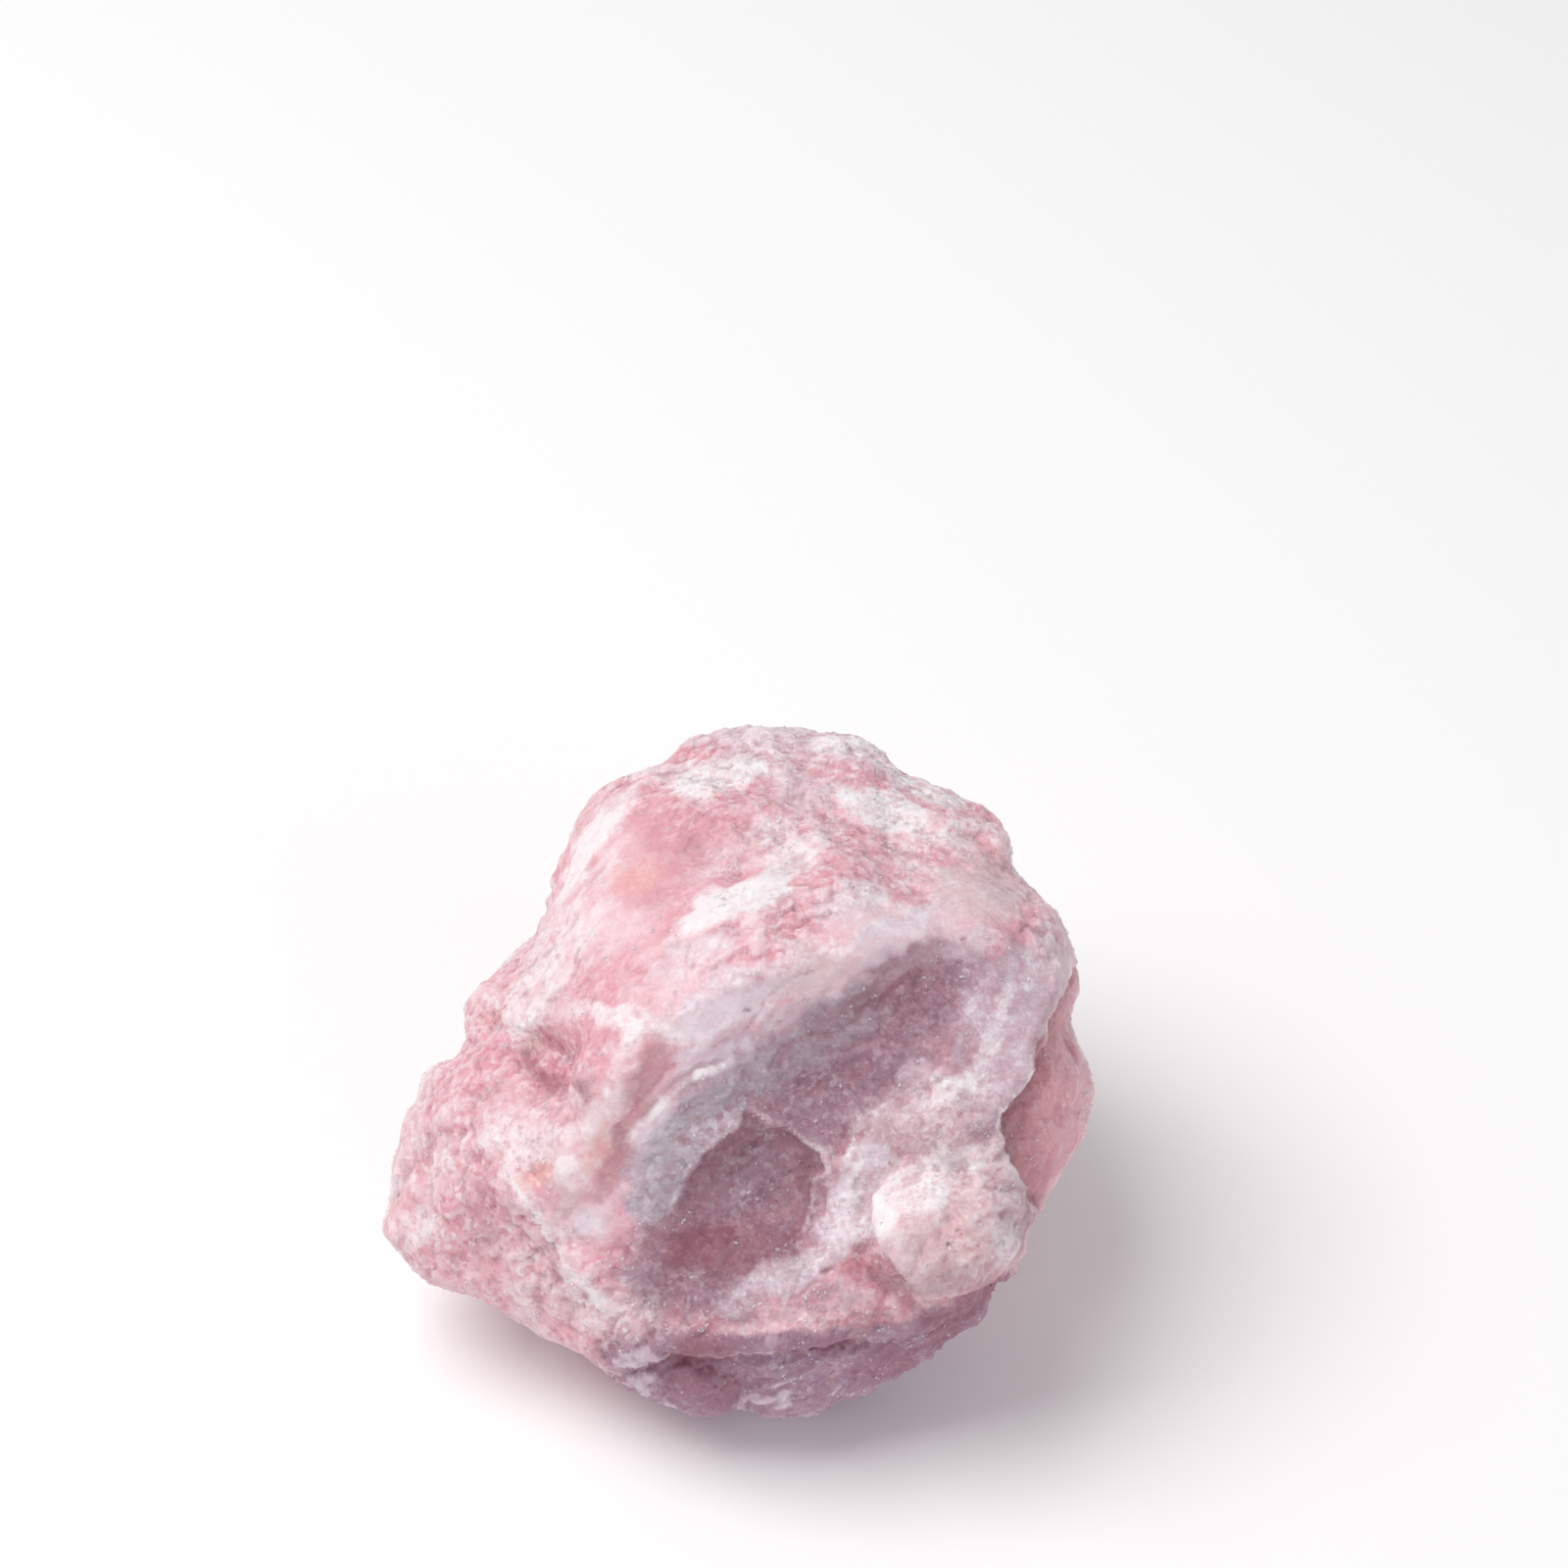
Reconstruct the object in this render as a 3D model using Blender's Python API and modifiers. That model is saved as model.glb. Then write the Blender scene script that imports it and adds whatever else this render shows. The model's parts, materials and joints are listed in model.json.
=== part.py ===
"""One lump of rough pink opal, 46 mm wide, standing on a flat broken face.

The lump's best face leans back by FACE_LEAN. Its outline and relief are given in a frame of that face, in
millimetres: right runs along +X, up runs up the leaning face, and out stands square to it. place() turns
them into the part's own frame, where +Z is up and the resting face is at z = 0.
"""

import math

import bmesh
import bpy
import numpy as np
from mathutils import Vector, noise

NAME = "pink_opal"
MM = 0.001

# Driving dimensions, in millimetres.
FACE_LEAN = math.radians(45)
RESTING_LEVEL = -17.0  # the resting face, measured straight down from the face frame's origin
FOOT_MIDDLE = (0.33, 0.66)  # the middle of the lump's plan, seen from the face frame's origin
BACK_DEPTH = 23.0
FINE_SUBDIVISIONS = 7
VOXEL = 0.36
MOST_TRIANGLES = 9500
CUT_SNAP = 0.15  # corners this close to the resting face lie on it

# The outline of the best face, anticlockwise from its top: (right, up).
OUTLINE = [
    (1.9, 22.4), (-2.7, 21.2), (-5.7, 19.7), (-9.3, 17.2), (-10.8, 14.5), (-11.7, 11.4), (-13.0, 8.4),
    (-15.5, 5.5), (-17.2, 4.4), (-17.4, 3.2), (-17.0, 1.6), (-18.1, -0.5), (-20.0, -0.6), (-20.2, -2.0),
    (-21.9, -4.6), (-22.2, -8.0), (-23.0, -11.4), (-20.0, -13.4), (-14.8, -15.9), (-9.4, -18.7),
    (-4.5, -21.7), (-0.8, -22.1), (0.4, -21.2), (2.8, -22.4), (6.8, -21.0), (12.6, -17.5), (15.9, -15.7),
    (16.3, -14.0), (18.5, -12.5), (18.6, -10.5), (20.6, -8.4), (22.3, -5.5), (22.4, -3.3), (23.2, -1.4),
    (22.1, 2.4), (22.4, 5.4), (21.8, 7.4), (20.6, 10.4), (18.0, 12.6), (17.8, 15.4), (15.0, 17.1),
    (11.1, 19.0), (8.7, 21.4), (4.8, 22.2),
]

# How far the lump stands out at its widest line, from the top of the face to its foot.
WAIST_TOP, WAIST_FOOT = -4.0, 4.0

# The relief of the best face: (right, up, out) of points on it.
RELIEF = {
    "top face": [(-3.2, 16.8, 6.0), (1.8, 18.0, 4.6), (7.0, 17.5, 4.8), (1.8, 11.7, 10.8), (6.2, 11.7, 10.8),
                 (-4.3, 6.5, 13.2), (12.4, 11.6, 9.0), (15.6, 13.0, 6.8), (-2.0, 9.0, 12.4)],
    "left shoulder": [(-7.4, 12.5, 8.2), (-9.3, 5.3, 11.2), (-12.0, 4.1, 8.6)],
    "main ridge": [(14.4, 9.3, 11.2), (10.9, 8.3, 12.6), (7.2, 6.6, 14.0), (3.0, 5.2, 14.8), (-1.9, 3.4, 15.2),
                   (-6.7, 1.7, 14.8)],
    "falling ridge": [(-7.4, -0.5, 14.4), (-8.9, -3.3, 13.6), (-10.3, -5.8, 12.6), (-11.2, -7.4, 11.6)],
    "band under the ridge": [(-3.1, -1.5, 13.2), (3.0, 2.2, 13.0), (-5.6, -4.5, 12.6), (-8.1, -5.8, 12.2),
                             (-6.9, -8.4, 11.2), (8.0, 4.6, 11.8)],
    "hollow": [(8.6, 2.6, 11.2), (6.8, 0.0, 11.4), (9.2, -0.9, 12.0), (4.3, -2.1, 11.8), (12.0, 5.0, 11.2)],
    "pocket": [(1.8, -7.1, 11.2), (-0.7, -10.2, 11.0), (4.3, -10.2, 11.4), (-3.2, -7.1, 11.6), (0.6, -13.3, 11.9)],
    "right plate": [(15.4, 2.2, 12.2), (18.6, 3.4, 12.4), (17.6, -0.2, 13.0), (11.1, -4.6, 12.8), (14.6, -3.7, 13.4),
                    (18.0, 7.8, 10.4)],
    "right lump": [(13.3, -10.6, 13.4), (10.9, -9.3, 12.8), (16.0, -8.0, 13.0)],
    "left notch": [(-11.6, 0.5, 9.8), (-13.6, 1.0, 8.4)],
    "left lobe": [(-17.7, -2.8, 7.4), (-19.7, -6.0, 6.0), (-15.7, -7.1, 9.2), (-13.2, -5.9, 10.4), (-17.2, -11.1, 6.8),
                  (-13.3, -12.9, 8.8), (-9.5, -12.9, 10.4), (-8.2, -15.4, 9.8)],
    "foot": [(7.3, -13.2, 12.6), (3.0, -15.1, 12.4), (0.6, -16.6, 12.0), (4.9, -16.8, 12.0), (9.1, -15.8, 12.2),
             (-3.1, -17.6, 10.4)],
}
RELIEF_GIVE = 0.6  # how loosely the relief follows those points

# Broken edges: the ground to the right of each line, walked in its order, lies lower by the drop and comes back
# up over the reach; the higher side hangs over by the overhang. (line of (right, up) points, drop, reach, overhang)
STEPS = {
    "plate rim": ([(19.6, -10.8), (17.6, -8.9), (16.3, -6.3), (15.5, -4.2), (15.7, -2.6), (17.6, -0.6), (18.8, 2.8),
                   (20.6, 6.2), (22.6, 8.4)], 3.2, 60.0, 1.0),
    "pocket edge": ([(-3.4, -8.4), (-3.0, -6.7), (0.1, -3.6), (1.7, -3.6), (3.5, -4.1), (4.1, -5.3), (5.6, -6.2),
                     (5.9, -8.4)], 1.1, 9.0, 0.3),
    "foot ledge": ([(-7.0, -18.2), (-4.7, -17.1), (0.2, -16.8), (7.3, -16.6), (11.7, -15.6), (17.5, -13.2)],
                   2.2, 60.0, 0.9),
    "notch wall": ([(-14.9, 3.4), (-11.2, 2.3), (-9.3, 0.3), (-9.9, -2.4)], 1.5, 6.0, 0.4),
    "lobe crease": ([(-15.9, -4.2), (-14.8, -6.8), (-13.3, -9.3), (-10.5, -13.2), (-9.9, -14.6)], 0.9, 7.0, 0.2),
    "flake": ([(10.6, 14.6), (14.0, 13.2), (17.0, 13.0), (19.0, 12.4)], 0.8, 5.0, 0.4),
}
WALL = 0.5  # how far across a broken edge's wall is
WANDER = (2.6, 0.6)  # the edges, knobs and crevices wander: (size of a bend, how far)

# Lumps that stand on the face: (right, up, half width, half height, height out).
KNOBS = {
    "right lump": (12.9, -10.9, 4.8, 3.9, 2.1),
    "plate corner": (12.9, -3.9, 3.4, 2.1, 0.9),
    "lobe knob": (-19.2, -2.4, 2.2, 2.0, 1.0),
    "foot knob": (-2.2, -20.6, 1.9, 1.4, 1.4),
    "notch knob": (-16.6, 3.0, 1.3, 1.6, 0.9),
    "pocket bead": (-4.3, -12.1, 0.9, 1.1, 0.6),
}

# Crevices: (line of (right, up) points, depth, half width).
CREVICES = {
    "notch crevice": ([(-14.0, 0.4), (-12.1, -1.1), (-10.4, -1.7)], 1.6, 0.8),
    "foot crack": ([(-3.0, -19.4), (-1.0, -20.2), (0.4, -21.4)], 1.2, 0.6),
    "under the lump": ([(8.0, -11.4), (9.0, -13.8), (11.6, -15.0), (15.0, -14.4)], 0.9, 0.7),
}

# Shell-shaped breaks of the far side: (compass degrees from +X, rise in degrees, distance of the break from the
# middle, radius of its hollow).
BREAKS = [
    (75, 38, 15.5, 60), (128, 24, 16.0, 45), (172, 2, 16.5, 70), (100, 72, 15.0, 50), (28, 14, 16.5, 55),
    (212, -18, 16.5, 60), (330, -22, 17.5, 60), (150, -32, 16.0, 45), (60, -18, 16.5, 40), (95, 8, 17.5, 35),
]
BREAK_MIDDLE = (0.0, 0.0, -2.0)

# Roughness of the break: (size of a lump or chip, its height), in millimetres.
LUMPS = (6.0, 0.5)
CHIPS = (3.2, 0.38)
FAR_CHIPS = (7.0, 2.2)


def place(right, up, out):
    """Face-frame millimetres to the part's frame, in metres."""
    sine, cosine = math.sin(FACE_LEAN), math.cos(FACE_LEAN)
    x = right - FOOT_MIDDLE[0]
    y = up * sine - out * cosine - FOOT_MIDDLE[1]
    z = up * cosine + out * sine - RESTING_LEVEL
    return np.stack([x, y, z], axis=-1) * MM


def relief_field():
    """A smooth surface through the points of RELIEF, as a function of right and up."""
    points = np.array([point for group in RELIEF.values() for point in group])
    places, heights = points[:, :2], points[:, 2]

    def spread(distance):
        return distance**2 * np.log(distance + 1e-9)

    gaps = np.linalg.norm(places[:, None] - places[None], axis=2)
    plane = np.hstack([np.ones((len(places), 1)), places])
    system = np.block([[spread(gaps) + RELIEF_GIVE * np.eye(len(places)), plane], [plane.T, np.zeros((3, 3))]])
    weights = np.linalg.solve(system, np.concatenate([heights, np.zeros(3)]))

    def height(here):
        reach = np.linalg.norm(here[:, None] - places[None], axis=2)
        return spread(reach) @ weights[:-3] + weights[-3] + here @ weights[-2:]

    return height


def beside(line, here):
    """Each place's distance from a line, above zero to its right; how far past the line's ends; the way right."""
    line = np.array(line, dtype=float)
    starts, runs = line[:-1], np.diff(line, axis=0)
    lengths = np.linalg.norm(runs, axis=1)
    offsets = here[:, None] - starts[None]
    along = np.einsum("nsk,sk->ns", offsets, runs) / lengths**2
    nearest = starts[None] + np.clip(along, 0, 1)[..., None] * runs[None]
    gaps = np.linalg.norm(here[:, None] - nearest, axis=2)
    best = gaps.argmin(axis=1)
    rows = np.arange(len(here))
    cross = offsets[rows, best, 0] * runs[best, 1] - offsets[rows, best, 1] * runs[best, 0]
    past = np.maximum(np.where(best == 0, -along[rows, best] * lengths[0], 0.0),
                      np.where(best == len(runs) - 1, (along[rows, best] - 1) * lengths[-1], 0.0))
    rightward = np.column_stack([runs[best, 1], -runs[best, 0]]) / lengths[best][:, None]
    return gaps[rows, best] * np.sign(cross), np.maximum(past, 0.0), rightward


def ease(low, high, value):
    share = np.clip((value - low) / (high - low), 0.0, 1.0)
    return share * share * (3.0 - 2.0 * share)


def broken_detail(here):
    """What the steps, knobs and crevices add to the relief, and how far each place shifts across the face."""
    bend, reach = WANDER
    here = here + reach * np.array([noise.noise_vector(Vector((*place, 3.7)) / bend)[:2] for place in here])
    extra, shift = np.zeros(len(here)), np.zeros(here.shape)
    for line, drop, reach, overhang in STEPS.values():
        side, past, rightward = beside(line, here)
        inside = 1.0 - ease(0.0, 2.0, past)
        extra -= drop * ease(0.0, WALL, side) * np.clip(1.0 - side / reach, 0.0, 1.0) * inside
        hang = overhang * ease(-2.5, 0.0, side) * (1.0 - ease(0.0, WALL, side)) * inside
        shift += hang[:, None] * rightward
    for right, up, half_width, half_height, height in KNOBS.values():
        share = np.hypot((here[:, 0] - right) / half_width, (here[:, 1] - up) / half_height)
        extra += height * np.sqrt(np.clip(1.0 - share**2, 0.0, 1.0))
    for line, depth, half_width in CREVICES.values():
        side, past, _ = beside(line, here)
        extra -= depth * (1.0 - ease(0.0, half_width, np.hypot(side, past)))
    return extra, shift


def swollen_outline(directions):
    """Unit directions to points of a lump that has the outline all round its waist."""
    outline = np.array(OUTLINE)
    corner_angles = np.arctan2(outline[:, 1], outline[:, 0])
    order = np.argsort(corner_angles)
    angles, corners = corner_angles[order], np.linalg.norm(outline, axis=1)[order]
    around = np.linspace(-math.pi, math.pi, 361)
    sharp = np.interp(around, angles, corners, period=2 * math.pi)
    window = np.hanning(41) / np.hanning(41).sum()
    eased = np.convolve(np.tile(sharp[:-1], 3), window, mode="same")[360:720]
    angle = np.arctan2(directions[:, 1], directions[:, 0])
    share = np.clip(np.hypot(directions[:, 0], directions[:, 1]), 0.0, 1.0)
    sharp_reach = np.interp(angle, angles, corners, period=2 * math.pi)
    eased_reach = np.interp(angle, around[:-1], eased, period=2 * math.pi)
    reach = eased_reach + (sharp_reach - eased_reach) * share**6
    here = directions[:, :2] * reach[:, None]
    waist = WAIST_FOOT + (WAIST_TOP - WAIST_FOOT) * (here[:, 1] - outline[:, 1].min()) / np.ptp(outline[:, 1])
    detail, shift = broken_detail(here)
    front = waist + (relief_field()(here) + detail - waist) * np.sqrt(1.0 - share**9)
    back = waist - BACK_DEPTH * np.sqrt(1.0 - share**2.4)
    facing = directions[:, 2] >= 0
    here = here + shift * (facing * (1.0 - share**9))[:, None]
    return np.column_stack([here, np.where(facing, front, back)]), share


def break_away(points, hold):
    """Takes the shells of BREAKS off the far side; hold keeps points in place, from 0 to 1."""
    middle = place(*BREAK_MIDDLE)
    for compass, rise, distance, radius in BREAKS:
        turn, lift = math.radians(compass), math.radians(rise)
        normal = np.array([math.cos(turn) * math.cos(lift), math.sin(turn) * math.cos(lift), math.sin(lift)])
        centre = middle + (distance + radius) * MM * normal
        away = points - centre
        gap = np.linalg.norm(away, axis=1)
        push = np.maximum(radius * MM - gap, 0.0) * (1.0 - hold)
        points = points + away / gap[:, None] * push[:, None]
    return points


def chip_height(point, size):
    """Height of a chipped surface, as a share of its chips' height: tilted flat chips that meet in small steps."""
    distances, centres = noise.voronoi(point / size)
    centre = centres[0]
    tilt = noise.cell_vector(centre * 7.31) * 2.0 - Vector((1.0, 1.0, 1.0))
    flat = tilt.dot(point / size - centre) + 0.3 * tilt.x
    return flat * min(1.0, (distances[1] - distances[0]) * 4.0)


def roughness(point, front):
    """How far the break stands out at a face-frame point; front is 1 on the best face and 0 on the far side."""
    size, height = LUMPS
    rise = height * noise.fractal(point / size, 0.9, 2.1, 4)
    rise += CHIPS[1] * chip_height(point, CHIPS[0])
    return rise + FAR_CHIPS[1] * (1.0 - front) * chip_height(point, FAR_CHIPS[0])


def lump_mesh():
    shape = bmesh.new()
    bmesh.ops.create_icosphere(shape, subdivisions=FINE_SUBDIVISIONS, radius=1.0)
    directions = np.array([vertex.co for vertex in shape.verts])
    local, share = swollen_outline(directions)
    hold = np.where(directions[:, 2] >= 0, 1.0, share**10)
    points = break_away(place(*local.T), hold)
    for vertex, point in zip(shape.verts, points):
        vertex.co = point
    shape.normal_update()
    rises = [roughness(Vector(where), front) for where, front in zip(local, hold)]
    for vertex, rise in zip(shape.verts, rises):
        vertex.co += vertex.normal * rise * MM
    mesh = bpy.data.meshes.new(NAME)
    shape.to_mesh(mesh)
    shape.free()
    return mesh


def evaluated_mesh(mesh, modifier_type, **settings):
    """The mesh after one modifier."""
    holder = bpy.data.objects.new("holder", mesh)
    bpy.context.scene.collection.objects.link(holder)
    modifier = holder.modifiers.new(modifier_type, modifier_type)
    for name, value in settings.items():
        setattr(modifier, name, value)
    made = bpy.data.meshes.new_from_object(holder.evaluated_get(bpy.context.evaluated_depsgraph_get()))
    bpy.data.objects.remove(holder)
    return made


def cut_foot(mesh):
    """Cuts the lump off flat at z = 0, the broken face that it rests on."""
    shape = bmesh.new()
    shape.from_mesh(mesh)
    for vertex in shape.verts:
        if abs(vertex.co.z) < CUT_SNAP * MM:
            vertex.co.z = 0.0
    everything = shape.verts[:] + shape.edges[:] + shape.faces[:]
    cut = bmesh.ops.bisect_plane(
        shape, geom=everything, dist=1e-6, plane_co=(0, 0, 0), plane_no=(0, 0, -1), clear_outer=True
    )
    rim = [thing for thing in cut["geom_cut"] if isinstance(thing, bmesh.types.BMEdge)]
    bmesh.ops.contextual_create(shape, geom=rim)
    bmesh.ops.triangulate(shape, faces=shape.faces[:])
    bmesh.ops.recalc_face_normals(shape, faces=shape.faces[:])
    shape.to_mesh(mesh)
    shape.free()


def opal():
    material = bpy.data.materials.new("pink opal")
    material.use_nodes = True
    shader = material.node_tree.nodes["Principled BSDF"]
    shader.inputs["Base Color"].default_value = (0.78, 0.42, 0.47, 1.0)
    shader.inputs["Roughness"].default_value = 0.6
    return material


def main():
    for thing in list(bpy.data.objects):
        bpy.data.objects.remove(thing)
    collection = bpy.data.collections.new("rough pink opal")
    bpy.context.scene.collection.children.link(collection)
    mesh = lump_mesh()
    mesh = evaluated_mesh(mesh, "REMESH", mode="VOXEL", voxel_size=VOXEL * MM)
    faces = sum(len(polygon.vertices) - 2 for polygon in mesh.polygons)
    mesh = evaluated_mesh(mesh, "DECIMATE", ratio=MOST_TRIANGLES / faces)
    cut_foot(mesh)
    mesh.materials.append(opal())
    lump = bpy.data.objects.new(NAME, mesh)
    collection.objects.link(lump)


main()
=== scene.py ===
# %% [markdown]
# # A lump of rough pink opal
#
# Pink opal is a soft, waxy stone. A rough lump of it is broken on every side: some breaks are smooth and
# shell shaped, others are sugary with tiny grains, and thin skins of white and lilac opal lie over the
# deeper pink. Such a stone could be sculpted by hand, or grown from noise alone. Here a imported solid
# already holds its main forms, so the lesson keeps them and lays a finer surface, finishes and loose grains
# over them.

import json
import math

import bmesh
import bpy
import numpy as np
from mathutils import Matrix, Vector, noise

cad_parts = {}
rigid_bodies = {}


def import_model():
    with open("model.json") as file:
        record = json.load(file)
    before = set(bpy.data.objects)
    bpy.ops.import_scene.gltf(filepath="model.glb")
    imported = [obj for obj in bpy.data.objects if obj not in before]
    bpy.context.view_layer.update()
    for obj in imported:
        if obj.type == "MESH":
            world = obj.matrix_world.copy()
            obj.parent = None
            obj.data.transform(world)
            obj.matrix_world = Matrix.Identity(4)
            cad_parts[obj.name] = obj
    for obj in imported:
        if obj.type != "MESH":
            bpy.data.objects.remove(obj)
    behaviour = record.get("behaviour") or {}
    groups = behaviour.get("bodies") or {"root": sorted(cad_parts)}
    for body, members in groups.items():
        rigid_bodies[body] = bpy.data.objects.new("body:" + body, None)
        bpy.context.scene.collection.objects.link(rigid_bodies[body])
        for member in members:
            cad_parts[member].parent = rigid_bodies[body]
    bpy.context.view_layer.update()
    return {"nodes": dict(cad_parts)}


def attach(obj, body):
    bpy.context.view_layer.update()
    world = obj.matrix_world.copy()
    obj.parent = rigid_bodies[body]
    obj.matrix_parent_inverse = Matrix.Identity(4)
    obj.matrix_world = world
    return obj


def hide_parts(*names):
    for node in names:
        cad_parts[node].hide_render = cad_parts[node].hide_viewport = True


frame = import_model()
MM = 0.001
solid = frame["nodes"]["pink_opal"]
print("solid:", len(solid.data.polygons), "faces")

# %% [markdown]
# ## A frame for the best face
#
# The lump stands on a flat foot, and its best face leans back. Its ledges and skins could be given in the
# part's own x, y and z, but on a leaning face such numbers are hard to read. In millimetres to the right,
# up the face and out of it they read like a drawing, so one small function goes over to that frame.

# %% Where a point of the face lies
FACE_LEAN = math.radians(45)
RESTING_LEVEL = -17.0
FOOT_MIDDLE = (0.33, 0.66)
face_up = np.array([0.0, math.sin(FACE_LEAN), math.cos(FACE_LEAN)])
face_out = np.array([0.0, -math.cos(FACE_LEAN), math.sin(FACE_LEAN)])
face_origin = np.array([-FOOT_MIDDLE[0], -FOOT_MIDDLE[1], -RESTING_LEVEL])


def to_face(points):
    """Metres in the part's frame to millimetres right, up and out."""
    gone = points / MM - face_origin
    return np.column_stack([gone[:, 0], gone @ face_up, gone @ face_out])


print("face origin, mm:", face_origin)

# %% [markdown]
# ## A fine skin
#
# The real stone is broken down to a tenth of a millimetre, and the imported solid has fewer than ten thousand
# triangles, enough for its lumps and ledges. Sculpting could refine it by hand, and a Displace modifier
# from a texture. Here the relief is worked out point by point, which needs an even net of small faces. The
# loose triangles are merged into one closed mesh, one subdivision rounds their corners, and a voxel remesh
# lays the net, because it cares for no edge of the old triangles.

# %% Copy, close and remesh the solid
SKIN_VOXEL = 0.29


def closed_copy(source, name):
    """A copy of a mesh with its loose triangles joined and no material."""
    shape = bmesh.new()
    shape.from_mesh(source)
    bmesh.ops.remove_doubles(shape, verts=shape.verts, dist=1e-6)
    mesh = bpy.data.meshes.new(name)
    shape.to_mesh(mesh)
    shape.free()
    mesh.materials.clear()
    return mesh


def with_modifiers(mesh, modifiers):
    """The mesh after a list of (modifier type, settings)."""
    holder = bpy.data.objects.new("holder", mesh)
    bpy.context.scene.collection.objects.link(holder)
    for kind, settings in modifiers:
        modifier = holder.modifiers.new(kind, kind)
        for setting, value in settings.items():
            setattr(modifier, setting, value)
    made = bpy.data.meshes.new_from_object(holder.evaluated_get(bpy.context.evaluated_depsgraph_get()))
    bpy.data.objects.remove(holder)
    return made


skin = with_modifiers(
    closed_copy(solid.data, "opal_skin"),
    [
        ("SUBSURF", {"levels": 1, "render_levels": 1}),
        ("REMESH", {"mode": "VOXEL", "voxel_size": SKIN_VOXEL * MM}),
    ],
)
print("skin:", len(skin.vertices), "points,", len(skin.polygons), "faces")

# %% [markdown]
# ## The net as arrays
#
# A loop over ninety thousand points is slow, so all points, normals and edges are read into arrays at once.
# The net still shows the flats of the old triangles. A Smooth modifier could iron them out. A mean over
# each point's neighbours does the same, and it also finds the hollows further down, so that one is written
# here.

# %% Points, normals and neighbours
SMOOTHING_PASSES = 3


def read_points(mesh):
    flat = np.empty(len(mesh.vertices) * 3)
    mesh.vertices.foreach_get("co", flat)
    return flat.reshape(-1, 3)


def read_normals(mesh):
    flat = np.empty(len(mesh.vertices) * 3)
    mesh.vertex_normals.foreach_get("vector", flat)
    return flat.reshape(-1, 3)


def write_points(mesh, points):
    mesh.vertices.foreach_set("co", points.ravel())
    mesh.update()


pairs = np.empty(len(skin.edges) * 2, dtype=int)
skin.edges.foreach_get("vertices", pairs)
pairs = pairs.reshape(-1, 2)
first, second = pairs[:, 0], pairs[:, 1]
neighbours = np.bincount(pairs.ravel(), minlength=len(skin.vertices)).astype(float)


def neighbour_mean(values):
    """Each point's mean over its neighbours, of one number or of three."""
    columns = values.reshape(len(values), -1)
    total = np.zeros_like(columns)
    for column in range(columns.shape[1]):
        from_second = np.bincount(first, columns[second, column], len(values))
        total[:, column] = from_second + np.bincount(second, columns[first, column], len(values))
    return (total / neighbours[:, None]).reshape(values.shape)


def soften(values, passes):
    for _ in range(passes):
        values = 0.5 * values + 0.5 * neighbour_mean(values)
    return values


write_points(skin, soften(read_points(skin), SMOOTHING_PASSES))
points, normals = read_points(skin), read_normals(skin)
edge_lengths = np.linalg.norm(points[first] - points[second], axis=1)
print("mean edge, mm:", round(float(edge_lengths.mean() / MM), 3))

# %% [markdown]
# ## Lines and patches
#
# Skins, crusts and cracks follow no rule. They could be painted by hand, but a painted mask can't be read
# or changed in a script. Here each is a named line or patch on the best face. A line gives every point its
# distance to the right of the line, so a strip beside it can be a lip, a step or a film. A patch is an
# ellipse. Noise lets both wander, so none looks drawn.

# %% Soft rises and noise
FRACTAL_DROP, FRACTAL_STEP = 0.8, 2.1


def ease(low, high, value):
    """0 below low, 1 above high, with a soft rise between."""
    share = np.clip((value - low) / (high - low), 0.0, 1.0)
    return share * share * (3.0 - 2.0 * share)


def fade(low, high, value):
    """1 below low, 0 above high, with a soft fall between."""
    return 1.0 - ease(low, high, value)


def strongest(*covers):
    """At each point the greatest of several covers."""
    return np.maximum.reduce(covers)


def mean(cover):
    return round(float(cover.mean()), 3)


def noise_at(places, size, shift):
    offset = Vector((shift, 2.0 * shift, -shift))
    return np.array([noise.noise(Vector(place) / size + offset) for place in places])


def fractal_at(places, size, octaves, shift):
    offset = Vector((shift, -shift, 3.0 * shift))
    spots = [Vector(place) / size + offset for place in places]
    return np.array([noise.fractal(spot, FRACTAL_DROP, FRACTAL_STEP, octaves) for spot in spots])


face = to_face(points)
right, up, out = face.T
print("face, mm: right", right.round().min(), "to", right.round().max())

# %% Front, back and wandering places
FACING_SLOPE = 3.0
FRONT_STARTS, FRONT_FULL = 0.5, 3.5
WANDER, SLIGHT_WANDER = 0.9, 0.3

facing = np.clip((normals @ face_out) * FACING_SLOPE + 1.0, 0.0, 1.0)
fronting = facing * np.clip((out - FRONT_STARTS) / (FRONT_FULL - FRONT_STARTS), 0.0, 1.0)
behind = 1.0 - fronting


def two_noises(size, shift_right, shift_up):
    return np.column_stack([noise_at(face, size, shift_right), noise_at(face, size, shift_up)])


wander = two_noises(2.4, 5.0, 9.0) + 0.5 * two_noises(0.9, 1.0, 3.0)
wandering = face[:, :2] + WANDER * wander
steady = face[:, :2] + SLIGHT_WANDER * wander
print("wander, mm: up to", round(float(np.abs(wander).max()) * WANDER, 2))

# %% [markdown]
# ## The lines of the face
#
# On the stone these are its ridge, the fin that falls from it, the rim of the thin plate on the right, the
# edges of the pocket and the round knob, the ledge over the foot, a vein, the edges of thin films, the line
# of a grey painted shade and a few cracks. They could be picked out of the mesh by its sharp edges, but a
# break has sharp edges everywhere.
# So each line is given by its few turning points. The rim, the pocket and the knob are steps of the solid
# too, so their lines wander only slightly.

# %% Named lines and the strips beside them
POCKET_EDGE = [(-4.2, -9.0), (-2.9, -6.5), (-1.4, -5.0), (0.0, -3.5), (0.4, -2.8), (1.2, -3.0), (1.9, -3.7),
               (3.0, -3.8), (4.0, -4.8), (5.3, -5.6), (5.6, -6.5), (4.9, -7.1), (4.7, -8.6), (4.2, -10.4)]
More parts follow.
